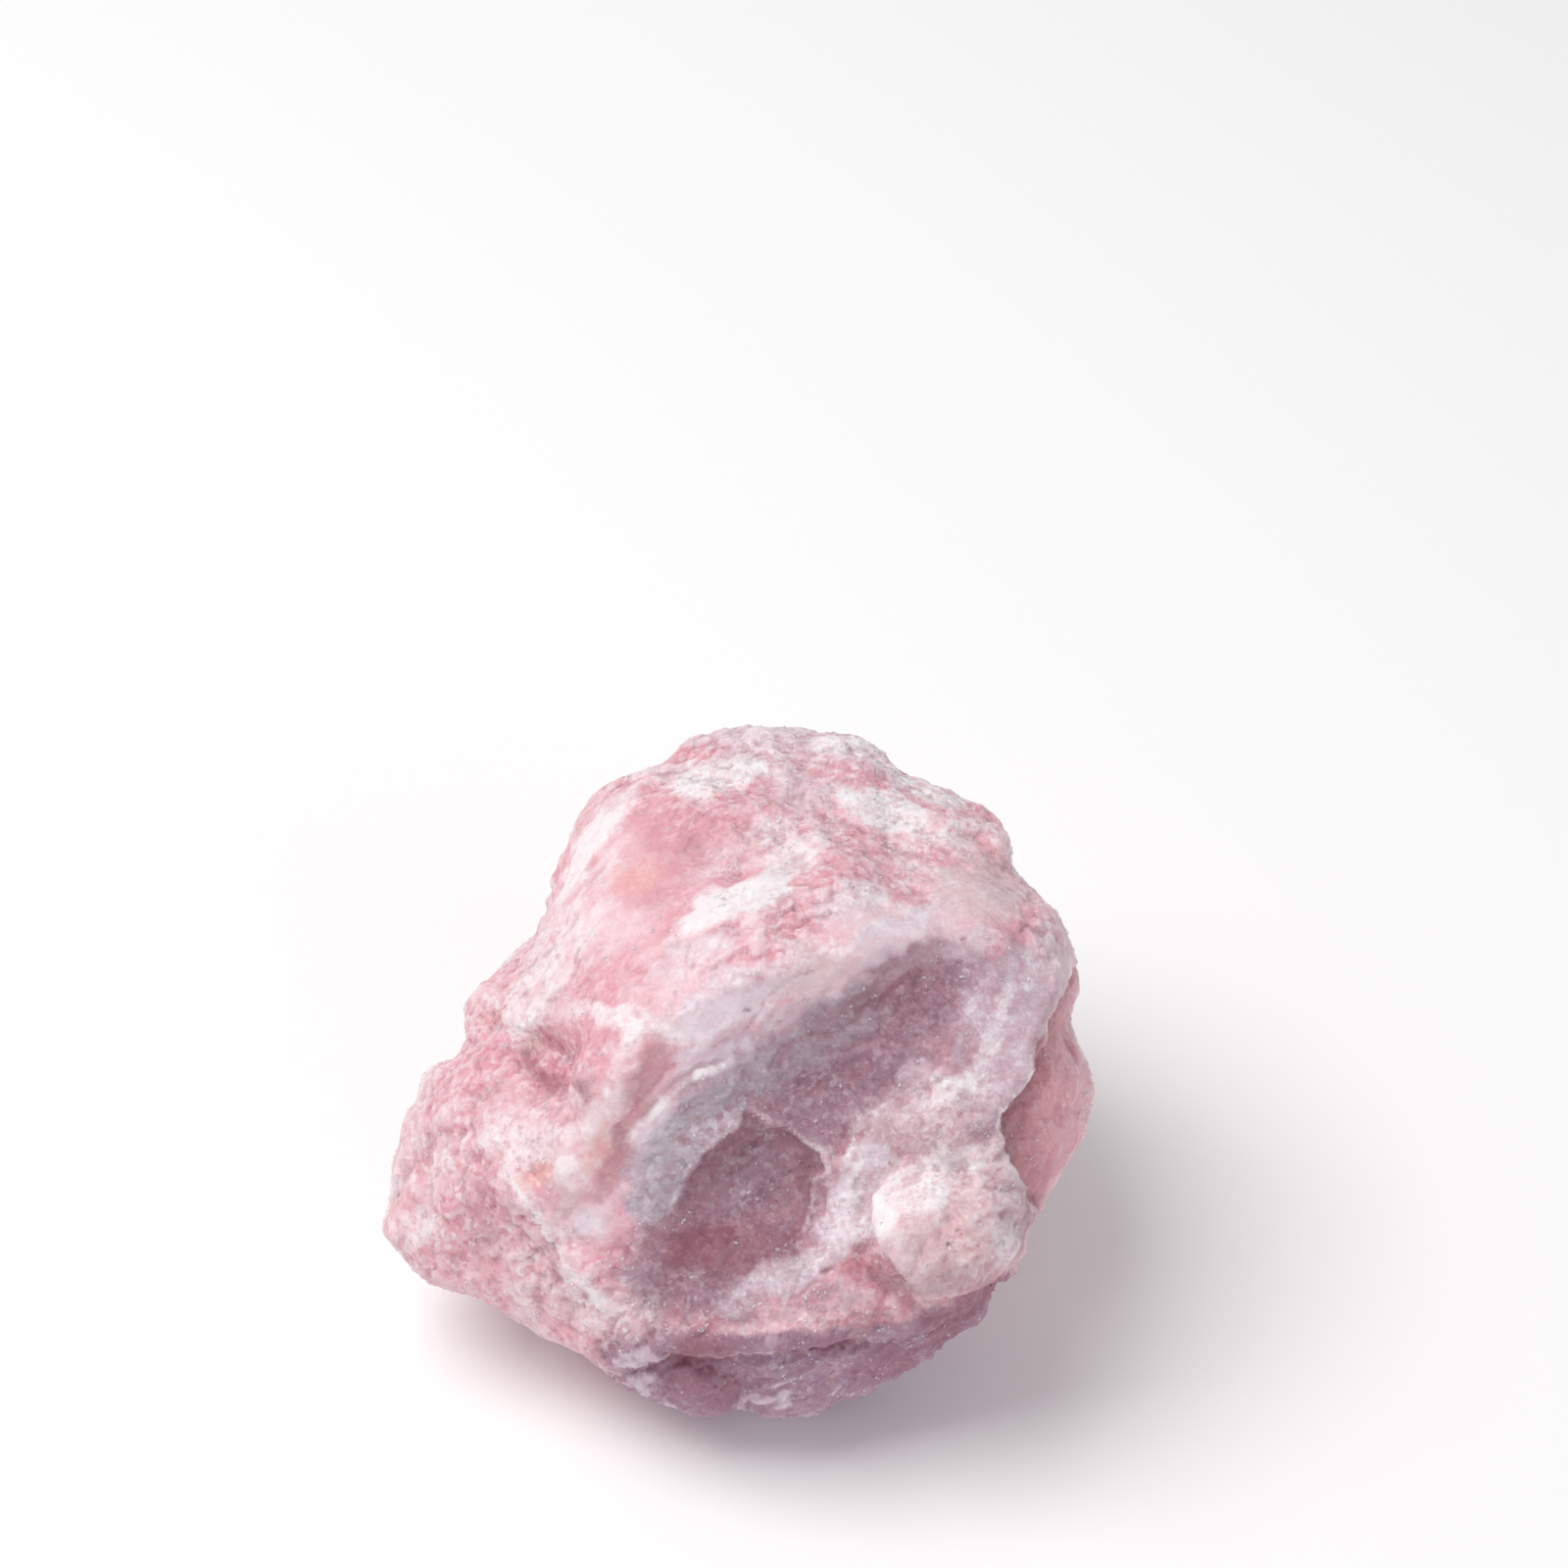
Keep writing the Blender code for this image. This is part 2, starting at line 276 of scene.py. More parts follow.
# Each line: the places that measure it, where it fades out past its ends in mm, and its turning points.
LINES = {
    "ridge": (wandering, 0.0, 2.5, [
        (-11.2, -8.6), (-10.0, -5.8), (-8.9, -3.3), (-7.6, -0.5), (-6.7, 1.6), (-1.9, 3.3), (3.0, 5.0),
        (7.2, 6.5), (10.9, 8.2), (14.4, 9.4)]),
    "rim": (steady, 0.0, 1.0, [
        (19.6, -10.8), (17.6, -8.9), (16.3, -6.3), (15.5, -4.2), (15.7, -2.6), (17.6, -0.6), (18.8, 2.8),
        (20.6, 6.2), (22.6, 8.4)]),
    "fin": (wandering, -0.5, 3.0, [(-6.2, 1.4), (-7.5, -1.2), (-8.5, -3.6), (-9.4, -5.9), (-10.2, -7.6)]),
    "film": (steady, 0.0, 0.8, [
        (-5.9, -5.9), (-6.6, -5.2), (-6.8, -4.7), (-5.6, -3.0), (-4.4, -1.8), (-2.5, -0.4), (-0.3, 0.4)]),
    "grey shade": (steady, 0.0, 2.0, [
        (-5.8, -8.8), (-5.0, -6.6), (-4.0, -4.8), (-2.4, -3.0), (0.2, -1.2), (3.0, 1.0), (5.6, 2.6),
        (8.2, 4.2)]),
    "flake": (steady, 0.0, 1.0, [(10.8, 16.2), (13.8, 15.2), (15.3, 14.6), (16.6, 14.0), (17.4, 14.5)]),
    "pocket": (steady, 0.0, 2.0, POCKET_EDGE),
    "pocket lip": (steady, 0.0, 0.8, POCKET_EDGE),
    "knob": (steady, 0.0, 1.5, [
        (10.2, -6.4), (8.9, -8.2), (8.6, -9.9), (9.2, -11.8), (10.8, -13.4), (13.2, -14.3), (16.4, -13.6)]),
    "vein": (steady, 0.0, 1.0, [(-14.3, -7.0), (-12.6, -9.0), (-11.0, -11.4), (-9.7, -13.5), (-8.6, -15.2)]),
    "ledge": (wandering, 0.0, 2.5, [
        (-7.0, -18.2), (-4.7, -17.1), (0.2, -16.8), (7.3, -16.6), (11.7, -15.6), (17.5, -13.2)]),
    "foot crack": (wandering, 0.0, 0.3, [(-2.1, -19.2), (-1.3, -19.5), (-0.4, -20.0)]),
    "knob crack": (wandering, 0.0, 0.3, [(4.9, -12.9), (6.2, -12.5)]),
}
# The solid's rim overhangs, so its edge lies this far to the right of the line.
RIM_OVERHANG = 0.75
# The foot's ledge runs on round the side, and fades between these distances out of the face.
LEDGE_FADES = (-9.0, -5.0)


def beside(line, places):
    """How far each place lies from a line, above zero to its right, and how far past the line's ends."""
    line = np.array(line, dtype=float)
    corners, runs = line[:-1], np.diff(line, axis=0)
    lengths = np.linalg.norm(runs, axis=1)
    offsets = places[:, None] - corners[None]
    along = np.einsum("nsk,sk->ns", offsets, runs) / lengths**2
    nearest = corners[None] + np.clip(along, 0, 1)[..., None] * runs[None]
    gaps = np.linalg.norm(places[:, None] - nearest, axis=2)
    best = gaps.argmin(axis=1)
    rows = np.arange(len(places))
    cross = offsets[rows, best, 0] * runs[best, 1] - offsets[rows, best, 1] * runs[best, 0]
    before = np.where(best == 0, -along[rows, best] * lengths[0], 0.0)
    beyond = np.where(best == len(runs) - 1, (along[rows, best] - 1) * lengths[-1], 0.0)
    return gaps[rows, best] * np.sign(cross), np.maximum(np.maximum(before, beyond), 0.0)


side, near = {}, {}
for name, (places, fades, ends, line) in LINES.items():
    side[name], past = beside(line, places)
    shown = ease(*LEDGE_FADES, out) if name == "ledge" else fronting
    near[name] = shown * fade(fades, ends, past)
side["rim"] -= RIM_OVERHANG


def strip(name, begins, full, fades=None, ends=None):
    """A strip beside a line: where it begins, is full, starts to fade and ends, in mm to its right."""
    cover = near[name] * ease(begins, full, side[name])
    return cover if fades is None else cover * fade(fades, ends, side[name])


print("lines:", ", ".join(LINES))

# %% [markdown]
# ## The patches of each finish
#
# The real skins are scraps of a thin layer: white crust on the crown, a lilac film in the hollow, mauve
# where the stone is deeper in, which is also painted shade in the hollow, the pocket and under the ledge. One
# noise for each finish would scatter such scraps anywhere. Patches put them where this stone has them.
# `deep` is painted shade in the clefts and the shaded places, and `waxy` marks the places that broke smooth.

# %% Patches of white crust and lilac film
PATCHES = {}
# Each patch: right, up, half length and half width in mm, turn in degrees, and strength.
PATCHES["white"] = [
    # crown
    (-9.4, 14.8, 5.4, 1.7, 64, 1.0), (-1.2, 18.9, 3.0, 1.6, 22, 1.5), (2.4, 14.8, 1.9, 1.1, -20, 0.8),
    (3.6, 12.6, 2.0, 1.4, 31, 0.9), (5.0, 15.4, 2.4, 1.2, -12, 0.5), (9.6, 16.6, 3.8, 1.3, -23, 1.3),
    (12.4, 12.0, 3.2, 1.2, -30, 0.45), (13.6, 14.4, 2.6, 0.9, -25, 0.7),
    # upper slope
    (-12.5, 5.4, 2.6, 1.2, 40, 0.5), (-11.4, 7.4, 4.4, 1.8, 60, 0.7), (-8.2, 9.2, 2.4, 1.4, 30, 0.45),
    (-3.4, 6.0, 3.4, 0.9, 22, 0.35), (0.7, 10.7, 4.8, 1.15, 31, 1.5), (8.6, 10.4, 2.6, 1.1, -8, 0.75),
    (17.6, 4.6, 3.4, 0.8, 62, 0.5),
    # plate
    (13.4, -1.8, 2.4, 1.2, 20, 0.75), (15.8, 0.4, 2.2, 1.0, 55, 0.55),
    # knob
    (9.3, -9.6, 1.7, 1.2, 60, 1.0), (10.9, -7.4, 1.6, 0.9, -20, 0.8), (11.0, -8.2, 2.4, 1.4, 35, 0.85),
    (13.4, -6.2, 2.8, 1.2, 10, 1.1), (17.0, -11.8, 2.0, 0.9, -60, 0.5),
    # pocket
    (3.2, -6.4, 0.9, 0.2, 55, 1.0), (3.6, -12.4, 5.4, 0.6, 27, 0.5), (7.0, -5.5, 1.1, 0.25, 50, 1.0),
    (7.4, -8.4, 2.2, 1.1, 60, 0.6), (7.9, -6.8, 0.8, 0.3, 35, 0.9),
    # fin
    (-7.3, -3.4, 2.8, 0.5, 66, 0.5), (-7.0, 2.9, 3.6, 0.8, -14, 0.8),
    # left lobe
    (-20.6, -10.4, 1.8, 1.6, 0, 0.7), (-19.0, -6.0, 3.0, 4.4, -20, 0.25), (-13.4, 3.2, 2.4, 1.5, 40, 0.7),
    (-13.4, -4.6, 4.2, 1.7, -20, 0.6),
    # foot
    (-8.8, -15.0, 3.4, 0.8, -40, 0.7),
]
PATCHES["lilac"] = [
    # crown
    (3.8, 18.0, 2.8, 1.6, -15, 0.6),
    # upper slope
    (-3.0, 6.4, 3.4, 1.2, 22, 0.6), (7.4, 10.2, 2.8, 1.6, 20, 0.7), (9.4, 7.0, 2.8, 0.7, 28, 0.7),
    (10.6, 8.8, 3.8, 1.0, 22, 0.95), (13.5, 8.4, 4.4, 1.8, -10, 0.5),
    # hollow
    (-1.6, -2.2, 6.0, 2.6, 48, 0.62), (-1.0, 3.6, 5.0, 1.8, 26, 0.8), (11.5, -1.5, 3.4, 1.4, 40, 0.5),
    # plate
    (16.6, 3.2, 6.0, 3.2, 68, 0.5), (16.8, 3.8, 5.4, 1.6, 72, 0.5),
    # knob
    (16.8, -10.0, 3.6, 1.1, 85, 0.8),
    # pocket
    (3.8, -12.6, 6.0, 1.1, 27, 0.7), (7.7, -8.2, 3.4, 2.0, 60, 1.4),
    # fin
    (-5.2, -5.8, 4.6, 1.5, 72, 0.85),
    # foot
    (5.0, -19.0, 5.0, 1.8, 8, 0.55),
]
print({name: len(PATCHES[name]) for name in ("white", "lilac")})

# %% Patches of rose, and of mauve that is partly painted shade
PATCHES["rose"] = [
    # crown
    (-2.6, 14.6, 4.6, 2.4, 40, 0.7),
    # upper slope
    (-5.0, 11.4, 3.6, 1.5, 20, 0.6), (-3.0, 9.0, 2.4, 0.5, 26, 0.8), (-1.0, 8.0, 1.4, 0.8, 20, 0.8),
    # behind the rim
    (20.2, -3.0, 8.0, 3.0, 84, 1.0),
    # knob
    (8.4, -13.4, 2.4, 1.0, -35, 1.0),
    # left lobe
    (-16.4, -11.8, 3.6, 1.4, -24, 0.45), (-11.8, 0.8, 3.0, 1.8, 10, 0.8), (-11.5, -4.0, 2.4, 0.8, 66, 0.6),
    (-11.4, -0.4, 3.0, 1.2, -20, 0.9), (-10.2, -8.7, 2.4, 1.0, 0, 0.6),
]
# Mauve is partly the stone's own colour and partly painted shade: in the hollow, on the plate, behind the
# rim, in the pocket, beside the fin and under the foot.
PATCHES["mauve"] = [
    # hollow
    (0.0, -1.2, 6.0, 3.2, 40, 0.75), (6.8, 0.0, 7.6, 4.6, 42, 1.0), (11.0, 4.2, 6.4, 3.4, 28, 1.0),
    # plate
    (16.6, 1.4, 7.4, 4.6, 68, 0.8),
    # behind the rim
    (19.0, -9.4, 3.6, 2.0, 70, 0.7),
    # knob
    (8.2, -6.0, 2.4, 1.0, 60, 0.6), (13.0, -12.4, 5.0, 2.6, 0, 0.45),
    # pocket
    (-3.4, -9.6, 6.6, 2.6, 78, 0.8), (-2.0, -12.6, 5.2, 3.8, 0, 1.0), (0.6, -8.6, 6.4, 5.8, 80, 1.0),
    (4.4, -12.2, 3.8, 1.8, 20, 0.6), (11.6, -3.6, 5.0, 3.4, 0, 0.75), (12.6, -4.2, 3.0, 1.4, 0, 0.7),
    (15.3, -4.0, 1.5, 0.6, 90, 0.9),
    # fin
    (-6.3, -6.4, 1.8, 0.8, 70, 0.8),
    # left lobe
    (-15.6, -8.5, 2.8, 1.7, 0, 0.4),
    # foot
    (-4.0, -18.6, 5.0, 2.4, 0, 0.9), (6.0, -14.6, 4.5, 1.2, 10, 0.5),
]
print({name: len(PATCHES[name]) for name in ("rose", "mauve")})

# %% Patches of stain, wear, painted shade and waxy breaks
PATCHES["peach"] = [
    # crown
    (-6.4, 12.0, 1.7, 1.3, 30, 0.9), (17.0, 15.0, 1.2, 0.4, -10, 0.9),
    # behind the rim
    (17.6, -6.0, 1.4, 0.8, 40, 0.5), (20.2, -1.4, 5.0, 1.4, 82, 0.45),
    # knob
    (14.6, -11.0, 2.0, 1.2, -30, 0.5),
    # fin
    (-8.2, -4.9, 2.0, 0.5, 66, 1.0),
    # left lobe
    (-15.4, 2.8, 1.2, 0.9, 0, 0.5), (-12.7, 1.5, 0.7, 0.6, 0, 0.9), (-12.6, -7.2, 1.5, 0.8, 0, 0.9),
]
PATCHES["beige"] = [
    # upper slope
    (16.4, 11.4, 3.6, 2.4, 0, 0.8),
    # knob
    (13.4, -10.8, 4.2, 3.4, 0, 0.7), (14.6, -7.6, 3.2, 1.5, 0, 0.75),
    # pocket
    (11.6, -4.0, 4.4, 2.6, 0, 0.55),
]
# The deep patches are painted shade where the face lies in shade: under the band, in the hollow, behind the
# rim, on the knob, in the pocket and on the foot.
PATCHES["deep"] = [
    # upper slope
    (8.8, 4.9, 5.2, 1.0, 28, 0.7),
    # hollow
    (4.0, 1.4, 3.4, 1.0, 34, 0.3), (6.6, 3.3, 3.2, 0.9, 30, 0.4), (9.8, 3.4, 3.8, 1.7, 30, 0.35),
    # behind the rim
    (17.4, -4.4, 1.8, 0.8, 60, 0.45), (18.4, -8.0, 2.8, 1.6, 60, 0.5), (19.4, 1.6, 2.8, 0.7, 75, 0.5),
    # knob
    (8.4, -13.4, 1.8, 0.7, -35, 0.4), (12.6, -13.1, 2.8, 1.0, 0, 0.5),
    # pocket
    (-3.4, -10.6, 1.6, 3.0, 0, 0.4), (-2.2, -11.6, 2.4, 1.6, 20, 1.0), (0.2, -12.0, 3.6, 1.6, 10, 0.7),
    # fin
    (-5.6, -0.6, 2.2, 0.7, 62, 0.35),
    # left lobe
    (-13.2, 1.2, 0.8, 0.4, -60, 0.4), (-11.9, -0.8, 1.1, 0.5, -50, 0.6), (-9.4, -1.9, 0.9, 0.45, -60, 0.6),
    # foot
    (-2.0, -20.2, 2.6, 1.2, -10, 0.6), (-1.9, -17.9, 2.5, 1.3, 10, 0.9), (5.0, -17.5, 3.0, 0.8, 8, 0.6),
    (8.4, -16.2, 5.0, 0.8, 16, 0.5), (9.6, -18.3, 2.4, 0.8, 24, 0.6), (14.2, -15.3, 4.4, 1.0, 34, 0.75),
]
PATCHES["waxy"] = [
    # upper slope
    (-6.6, 11.0, 5.5, 7.5, 40, 0.9), (-6.0, 4.6, 5.0, 2.6, 20, 0.7), (0.6, 10.6, 5.0, 1.4, 31, 0.6),
    (9.0, 9.0, 5.0, 1.4, 22, 0.7), (15.6, 11.2, 3.6, 2.8, 0, 0.7),
    # plate
    (16.6, 3.0, 5.0, 3.0, 66, 0.7),
    # behind the rim
    (20.4, -2.0, 3.0, 9.0, 0, 0.4),
    # knob
    (9.8, -9.4, 1.8, 2.4, 0, 0.7),
    # left lobe
    (-9.0, -5.0, 5.0, 1.6, 66, 0.8),
]
print({name: len(PATCHES[name]) for name in ("peach", "beige", "deep", "waxy")})

# %% From patches to covers
# How wide the soft edge of a patch is on either side, as a share of the patch.
SOFTER_EDGES = {"white": 0.55, "peach": 0.6, "deep": 0.6}
PLAIN_EDGE = 0.5
PITS = [(0.7, 3.5), (1.9, -12.1), (-9.4, -1.9), (13.9, -10.4), (13.2, -11.3), (14.3, 8.1)]
PIT_FLOOR, PIT_WALL, PIT_STRENGTH = 0.05, 0.25, 0.8


def patches(finish):
    """0 to the patch's strength inside any of the finish's patches, with a soft edge."""
    edge = SOFTER_EDGES.get(finish, PLAIN_EDGE)
    cover = np.zeros(len(wandering))
    for middle_right, middle_up, length, width, turn, strength in PATCHES[finish]:
        angle = math.radians(turn)
        gone = wandering - np.array([middle_right, middle_up])
        along = gone @ np.array([math.cos(angle), math.sin(angle)]) / length
        across = gone @ np.array([-math.sin(angle), math.cos(angle)]) / width
        cover = np.maximum(cover, strength * fade(1.0 - edge, 1.0 + edge, np.hypot(along, across)))
    return cover * fronting


def pits():
    """Small round holes, given by their middles."""
    cover = np.zeros(len(steady))
    for middle in PITS:
        gap = np.linalg.norm(steady - np.array(middle), axis=1)
        cover = np.maximum(cover, PIT_STRENGTH * fade(PIT_FLOOR, PIT_WALL, gap))
    return cover * fronting


print("patches:", sum(len(ellipses) for ellipses in PATCHES.values()), "and", len(PITS), "pits")

# %% [markdown]
# ## Layers and marbling
#
# Opal settles in layers, and these run up to the right across the best face. Plain noise is the same in all
# directions and would look like clouds. Read at places that are squeezed along the layers, the same noise
# is drawn out into streaks, and several sizes of it give marbling, clouds and frayed edges.

# %% Noise drawn out along the layers
LAYER_TURN = math.radians(34)
LAYER_SQUEEZE, STREAK_SQUEEZE = 0.35, 0.8
layer_run = np.array([math.cos(LAYER_TURN), math.sin(LAYER_TURN), 0.0])


def drawn_out(squeeze):
    return face - squeeze * np.outer(face @ layer_run, layer_run)


layered = drawn_out(LAYER_SQUEEZE)
marble = fractal_at(layered, 4.5, 4, 11.0)
marble_fine = fractal_at(layered, 1.4, 3, 4.0)
clouds = fractal_at(layered, 7.0, 3, 21.0)
stains = fractal_at(layered, 5.0, 3, 33.0)
streaks = fractal_at(drawn_out(STREAK_SQUEEZE), 1.8, 3, 51.0)
ragged = 0.35 + 0.65 * ease(-0.25, 0.2, fractal_at(face, 1.6, 3, 91.0))
print("marbling: from", round(float(marble.min()), 2), "to", round(float(marble.max()), 2))

# %% [markdown]
# ## Places beside the lines
#
# A film, a lip or a shade on the stone follows an edge, so each is a strip beside its line. Its four
# numbers say where it starts, is full, starts to fade and ends, in millimetres to the right of the line,
# and a strip with only the first two doesn't end. A texture painted along each edge would need a map of the
# surface, and a strip needs none.

# %% Strips that the finishes use
BAND_WIDE, BAND_NARROW = 5.6, 3.3
BAND_FADES = 0.45
band_width = BAND_WIDE + (BAND_NARROW - BAND_WIDE) * ease(-1.0, 6.0, right)
band = strip("ridge", 0.2, 2.2, BAND_FADES * band_width, band_width)
crest = strip("ridge", -1.4, -0.2, 0.6, 1.8)
# fin_top is the fin's crest and lit side, and fin_lee its shaded side.
fin_top = strip("fin", -1.1, 0.2, 0.6, 1.9)
fin_lee = strip("fin", -3.0, -1.6, -1.2, 0.2)
fin_crease = strip("fin", -2.7, -2.0, -1.6, -0.9)
fin_sides = strip("fin", -3.0, -1.0, 1.0, 3.0)
film_line = strip("film", -0.25, 0.0, 0.1, 0.45)
# A grey painted shade lies beside this line, in the valley between the band and the pocket.
grey_shade_strip = strip("grey shade", -2.0, -0.7, 1.0, 2.8)
flake_edge = strip("flake", -0.3, 0.2, 0.4, 0.9)
in_pocket = strip("pocket", 0.0, 0.3, 6.0, 9.5)
pocket_shade = strip("pocket", 0.0, 0.3, 0.2, 1.8)
pocket_lip = strip("pocket lip", -0.5, -0.2, -0.05, 0.1)
vein = strip("vein", -0.4, -0.1, 0.1, 0.4)
outside_rim = strip("rim", 0.05, 0.3)
rim_line = strip("rim", -0.3, -0.1, 0.05, 0.2)
rim_shade = 0.5 * strip("rim", 0.05, 0.25, 0.2, 0.7) + 0.5 * strip("rim", 0.05, 0.25, 0.3, 2.4)
plate_margin = strip("rim", -5.0, -2.5, -0.1, 0.1)
under_ledge = strip("ledge", -0.5, 0.2)
foot_crack = strip("foot crack", -0.25, 0.0, 0.0, 0.25)
knob_crack = strip("knob crack", -0.25, 0.0, 0.0, 0.25)
cracks = strongest(foot_crack, knob_crack, pits())
print("share in the pocket:", mean(in_pocket), "and under the ledge:", mean(under_ledge))

# %% [markdown]
# ## The cover of each finish
#
# Each finish gets a cover at every point of the skin, 0 where there is none of it and 1 or more where it is
# whole. It is made of patches, strips and some noise. The best face has its own marks. Behind it white,
# lilac, rose and peach come from noise alone, so that side isn't bare. The covers are stored on the mesh as
# attributes, because a shader can read those straight away, and a second pattern in the shader only has to
# fray their edges. The number before a place is the finish's strength there.

# %% White crust and lilac film
crusted = strongest(patches("white"), 0.8 * vein, 0.8 * ease(0.12, 0.5, marble) * (0.3 + 0.7 * behind))
crusted *= 1.0 - strongest(0.95 * in_pocket, under_ledge)
# The white on the fin's lit top is a painted highlight.
white = strongest(crusted, 0.4 * pocket_lip, 0.6 * band * ease(0.2, 0.5, streaks),
                  0.65 * fin_top * (0.4 + 0.6 * ragged), 0.8 * film_line * ragged)
white = strongest(white * (1.0 - 0.95 * outside_rim), 0.6 * rim_line)

filmed = strongest(patches("lilac"), 0.95 * band) * (1.0 - in_pocket) * (1.0 - under_ledge)
filmed *= 1.0 - 0.3 * band * ease(0.0, 0.35, -streaks)
foot_film = under_ledge * ease(0.12, 0.3, streaks) * fade(6.0, 10.0, right)
filmed = strongest(filmed, 0.7 * behind * ease(0.1, 0.35, clouds), 0.7 * foot_film)
# The fin's shaded side loses its film, for the painted shade there.
filmed *= 1.0 - 0.9 * fin_lee
lilac = strongest(filmed, 0.6 * plate_margin * ease(-7.0, -1.0, up)) * (1.0 - 0.95 * outside_rim)
print("mean white:", mean(white), "lilac:", mean(lilac))

# %% Rose, mauve and the stains
# upper_lee is the upper part of the fin's shaded side, and the rose there is painted shade.
upper_lee = fin_lee * ease(-8.5, -4.0, up)
rose = strongest(patches("rose"), 0.5 * behind * ease(0.05, 0.4, -clouds),
                 0.2 * under_ledge * ease(0.15, 0.45, marble), 0.8 * upper_lee) * (1.0 - 0.9 * plate_margin)
# Mauve is partly painted shade, in its patches, in the pocket and under the ledge.
mauve = strongest(patches("mauve"), 0.85 * under_ledge, 0.95 * in_pocket)
# Violet under the ledge is partly the foot's purple and partly painted shade on its underside.
violet = 0.8 * under_ledge
# The grey painted shade, kept out of the pocket.
smoky = grey_shade_strip * (1.0 - in_pocket) * (0.8 + 0.3 * ease(-0.3, 0.2, streaks))
# The peach on the fin's shaded side is painted shade.
peach = strongest(patches("peach"), 0.6 * behind * ease(0.3, 0.5, stains), 0.8 * flake_edge,
                  0.3 * fin_lee, 0.2 * fin_top) * (1.0 - 0.9 * plate_margin)
worn = strongest(patches("beige"), 0.9 * crest * fade(5.0, 9.0, right))
# The beige on the fin's shaded side is painted shade.
beige = strongest(worn * (1.0 - 0.5 * fin_sides), 0.25 * fin_lee)
print("mean rose:", mean(rose), "mauve:", mean(mauve))

# %% Painted shade in the clefts, waxy breaks and sparkle
DULL_FOOT = (0.5, 1.0)
height = points[:, 2] / MM
# deep is painted shade: in the cracks and pits, beside the rim and the pocket's edge, in the fin's crease and
# in the shaded patches.
deep = strongest(patches("deep"), cracks, 1.1 * rim_shade, 0.3 * pocket_shade,
                 0.25 * fin_crease * ease(-8.5, -4.0, up))
waxy = strongest(patches("waxy"), 0.9 * crest, 0.9 * fin_top, 0.9 * fin_lee, 0.8 * band, 0.4 * outside_rim)
waxy = np.clip(waxy, 0.0, 1.0)
clusters = ease(0.08, 0.55, fractal_at(face, 2.2, 4, 71.0)) ** 2
sparkle = np.clip(0.03 + 0.95 * clusters + 0.2 * white, 0.0, 1.0) * (1.0 - 0.75 * waxy)
sparkle *= ease(*DULL_FOOT, height)
print("mean deep:", mean(deep), "waxy:", mean(waxy))

# %% [markdown]
# ## Chips and flakes
#
# Opal breaks in small flat chips that meet in steps, and in thin flakes with a crisp edge. A bump map could
# shade them, but the outline would stay smooth, so they are real relief. A Voronoi cell with its own tilt
# makes one chip, and three sizes of cell lie over each other. A smooth noise cut into terraces makes the
# flakes. The waxy breaks stay nearly smooth. All of it moves points along their normals.

# %% Chips, flakes and sugar
CHIPS = ((3.0, 0.20), (1.4, 0.10), (0.8, 0.11))
CHIP_WALL, CHIP_SHIFT = 5.0, 0.35
FLAKES = ((8.0, 2.2, 0.30, 41.0), (4.0, 1.8, 0.14, 57.0))
FLAKE_WALL = 0.16
SUGAR_SIZE, SUGAR_RISE = 0.8, 0.045
WARP = 0.15


def chips(places, size):
    """Height of tilted flat chips with a step between them, as a share of their size."""
    heights = np.empty(len(places))
    for index, place in enumerate(places):
        spot = Vector(place) / size
        distances, centres = noise.voronoi(spot)
        tilt = noise.cell_vector(centres[0] * 7.31) * 2.0 - Vector((1.0, 1.0, 1.0))
        chip = tilt.dot(spot - centres[0]) + CHIP_SHIFT * tilt.y
        heights[index] = chip * min(1.0, (distances[1] - distances[0]) * CHIP_WALL)
    return heights


def terraces(level, wall):
    """Sloping flats, from 0 down to -1, with a step between them that takes up the given share."""
    share = level - np.floor(level)
    return ease(0.0, wall, share) - share


warped = face + WARP * np.column_stack([marble_fine, -marble_fine, marble_fine])
rise = np.zeros(len(points))
for size, chip_rise in CHIPS:
    rise += chip_rise * chips(warped, size) * (1.0 - 0.85 * waxy)
flaky = ease(-0.15, 0.2, fractal_at(face, 9.0, 2, 77.0)) * (1.0 - 0.7 * waxy) * (1.0 - outside_rim)
for size, steps, flake_rise, shift in FLAKES:
    rise += flake_rise * (0.5 + terraces(fractal_at(layered, size, 4, shift) * steps, FLAKE_WALL)) * flaky
rise += SUGAR_RISE * fractal_at(face, SUGAR_SIZE, 3, 2.0) * (1.0 - 0.8 * waxy)
print("chips and flakes, mm: from", round(float(rise.min()), 2), "to", round(float(rise.max()), 2))

# %% [markdown]
# ## Lips, steps and crust edges
#
# The crust and the film are thin layers, so they stand a little above the pink. The rim, the pocket, the
# knob, the fin and the vein have a lip on one side and a step down on the other. Cutting these edges into
# the mesh would break its even net. Strips beside the same lines, each with a height, raise or lower it
# instead.

# %% Steps beside the lines
CRUST_RISE, FILM_RISE = 0.05, 0.03
CRACK_DEPTH = 0.25
FIN_COMB = 0.25
# Each step: its line, its height in mm, and where its strip starts, is full, starts to fade and ends.
STEPS = [
    ("rim", 0.12, -1.4, -0.5, -0.5, 0.4), ("rim", -0.35, 0.0, 0.35, 2.0, 5.0),
    ("pocket", 0.15, -1.4, 0.0, 0.0, 0.25), ("pocket", -0.35, 0.0, 0.3, 1.0, 4.0),
    ("knob", 0.25, -2.4, -0.4, -0.1, 0.3), ("knob", -0.35, -0.1, 0.3, 0.5, 2.2),
    ("fin", -0.15, -3.4, -1.9, -1.9, -0.4), ("vein", 0.3, -1.6, -0.2, -0.1, 0.2),
    ("film", 0.25, -0.2, 0.15, 0.5, 2.2), ("flake", 0.22, -2.0, -0.2, -0.1, 0.25),
]
FOOT_LAYER, FOOT_LAYER_RISE, FOOT_LAYER_WALL = 1.9, 0.35, 0.25

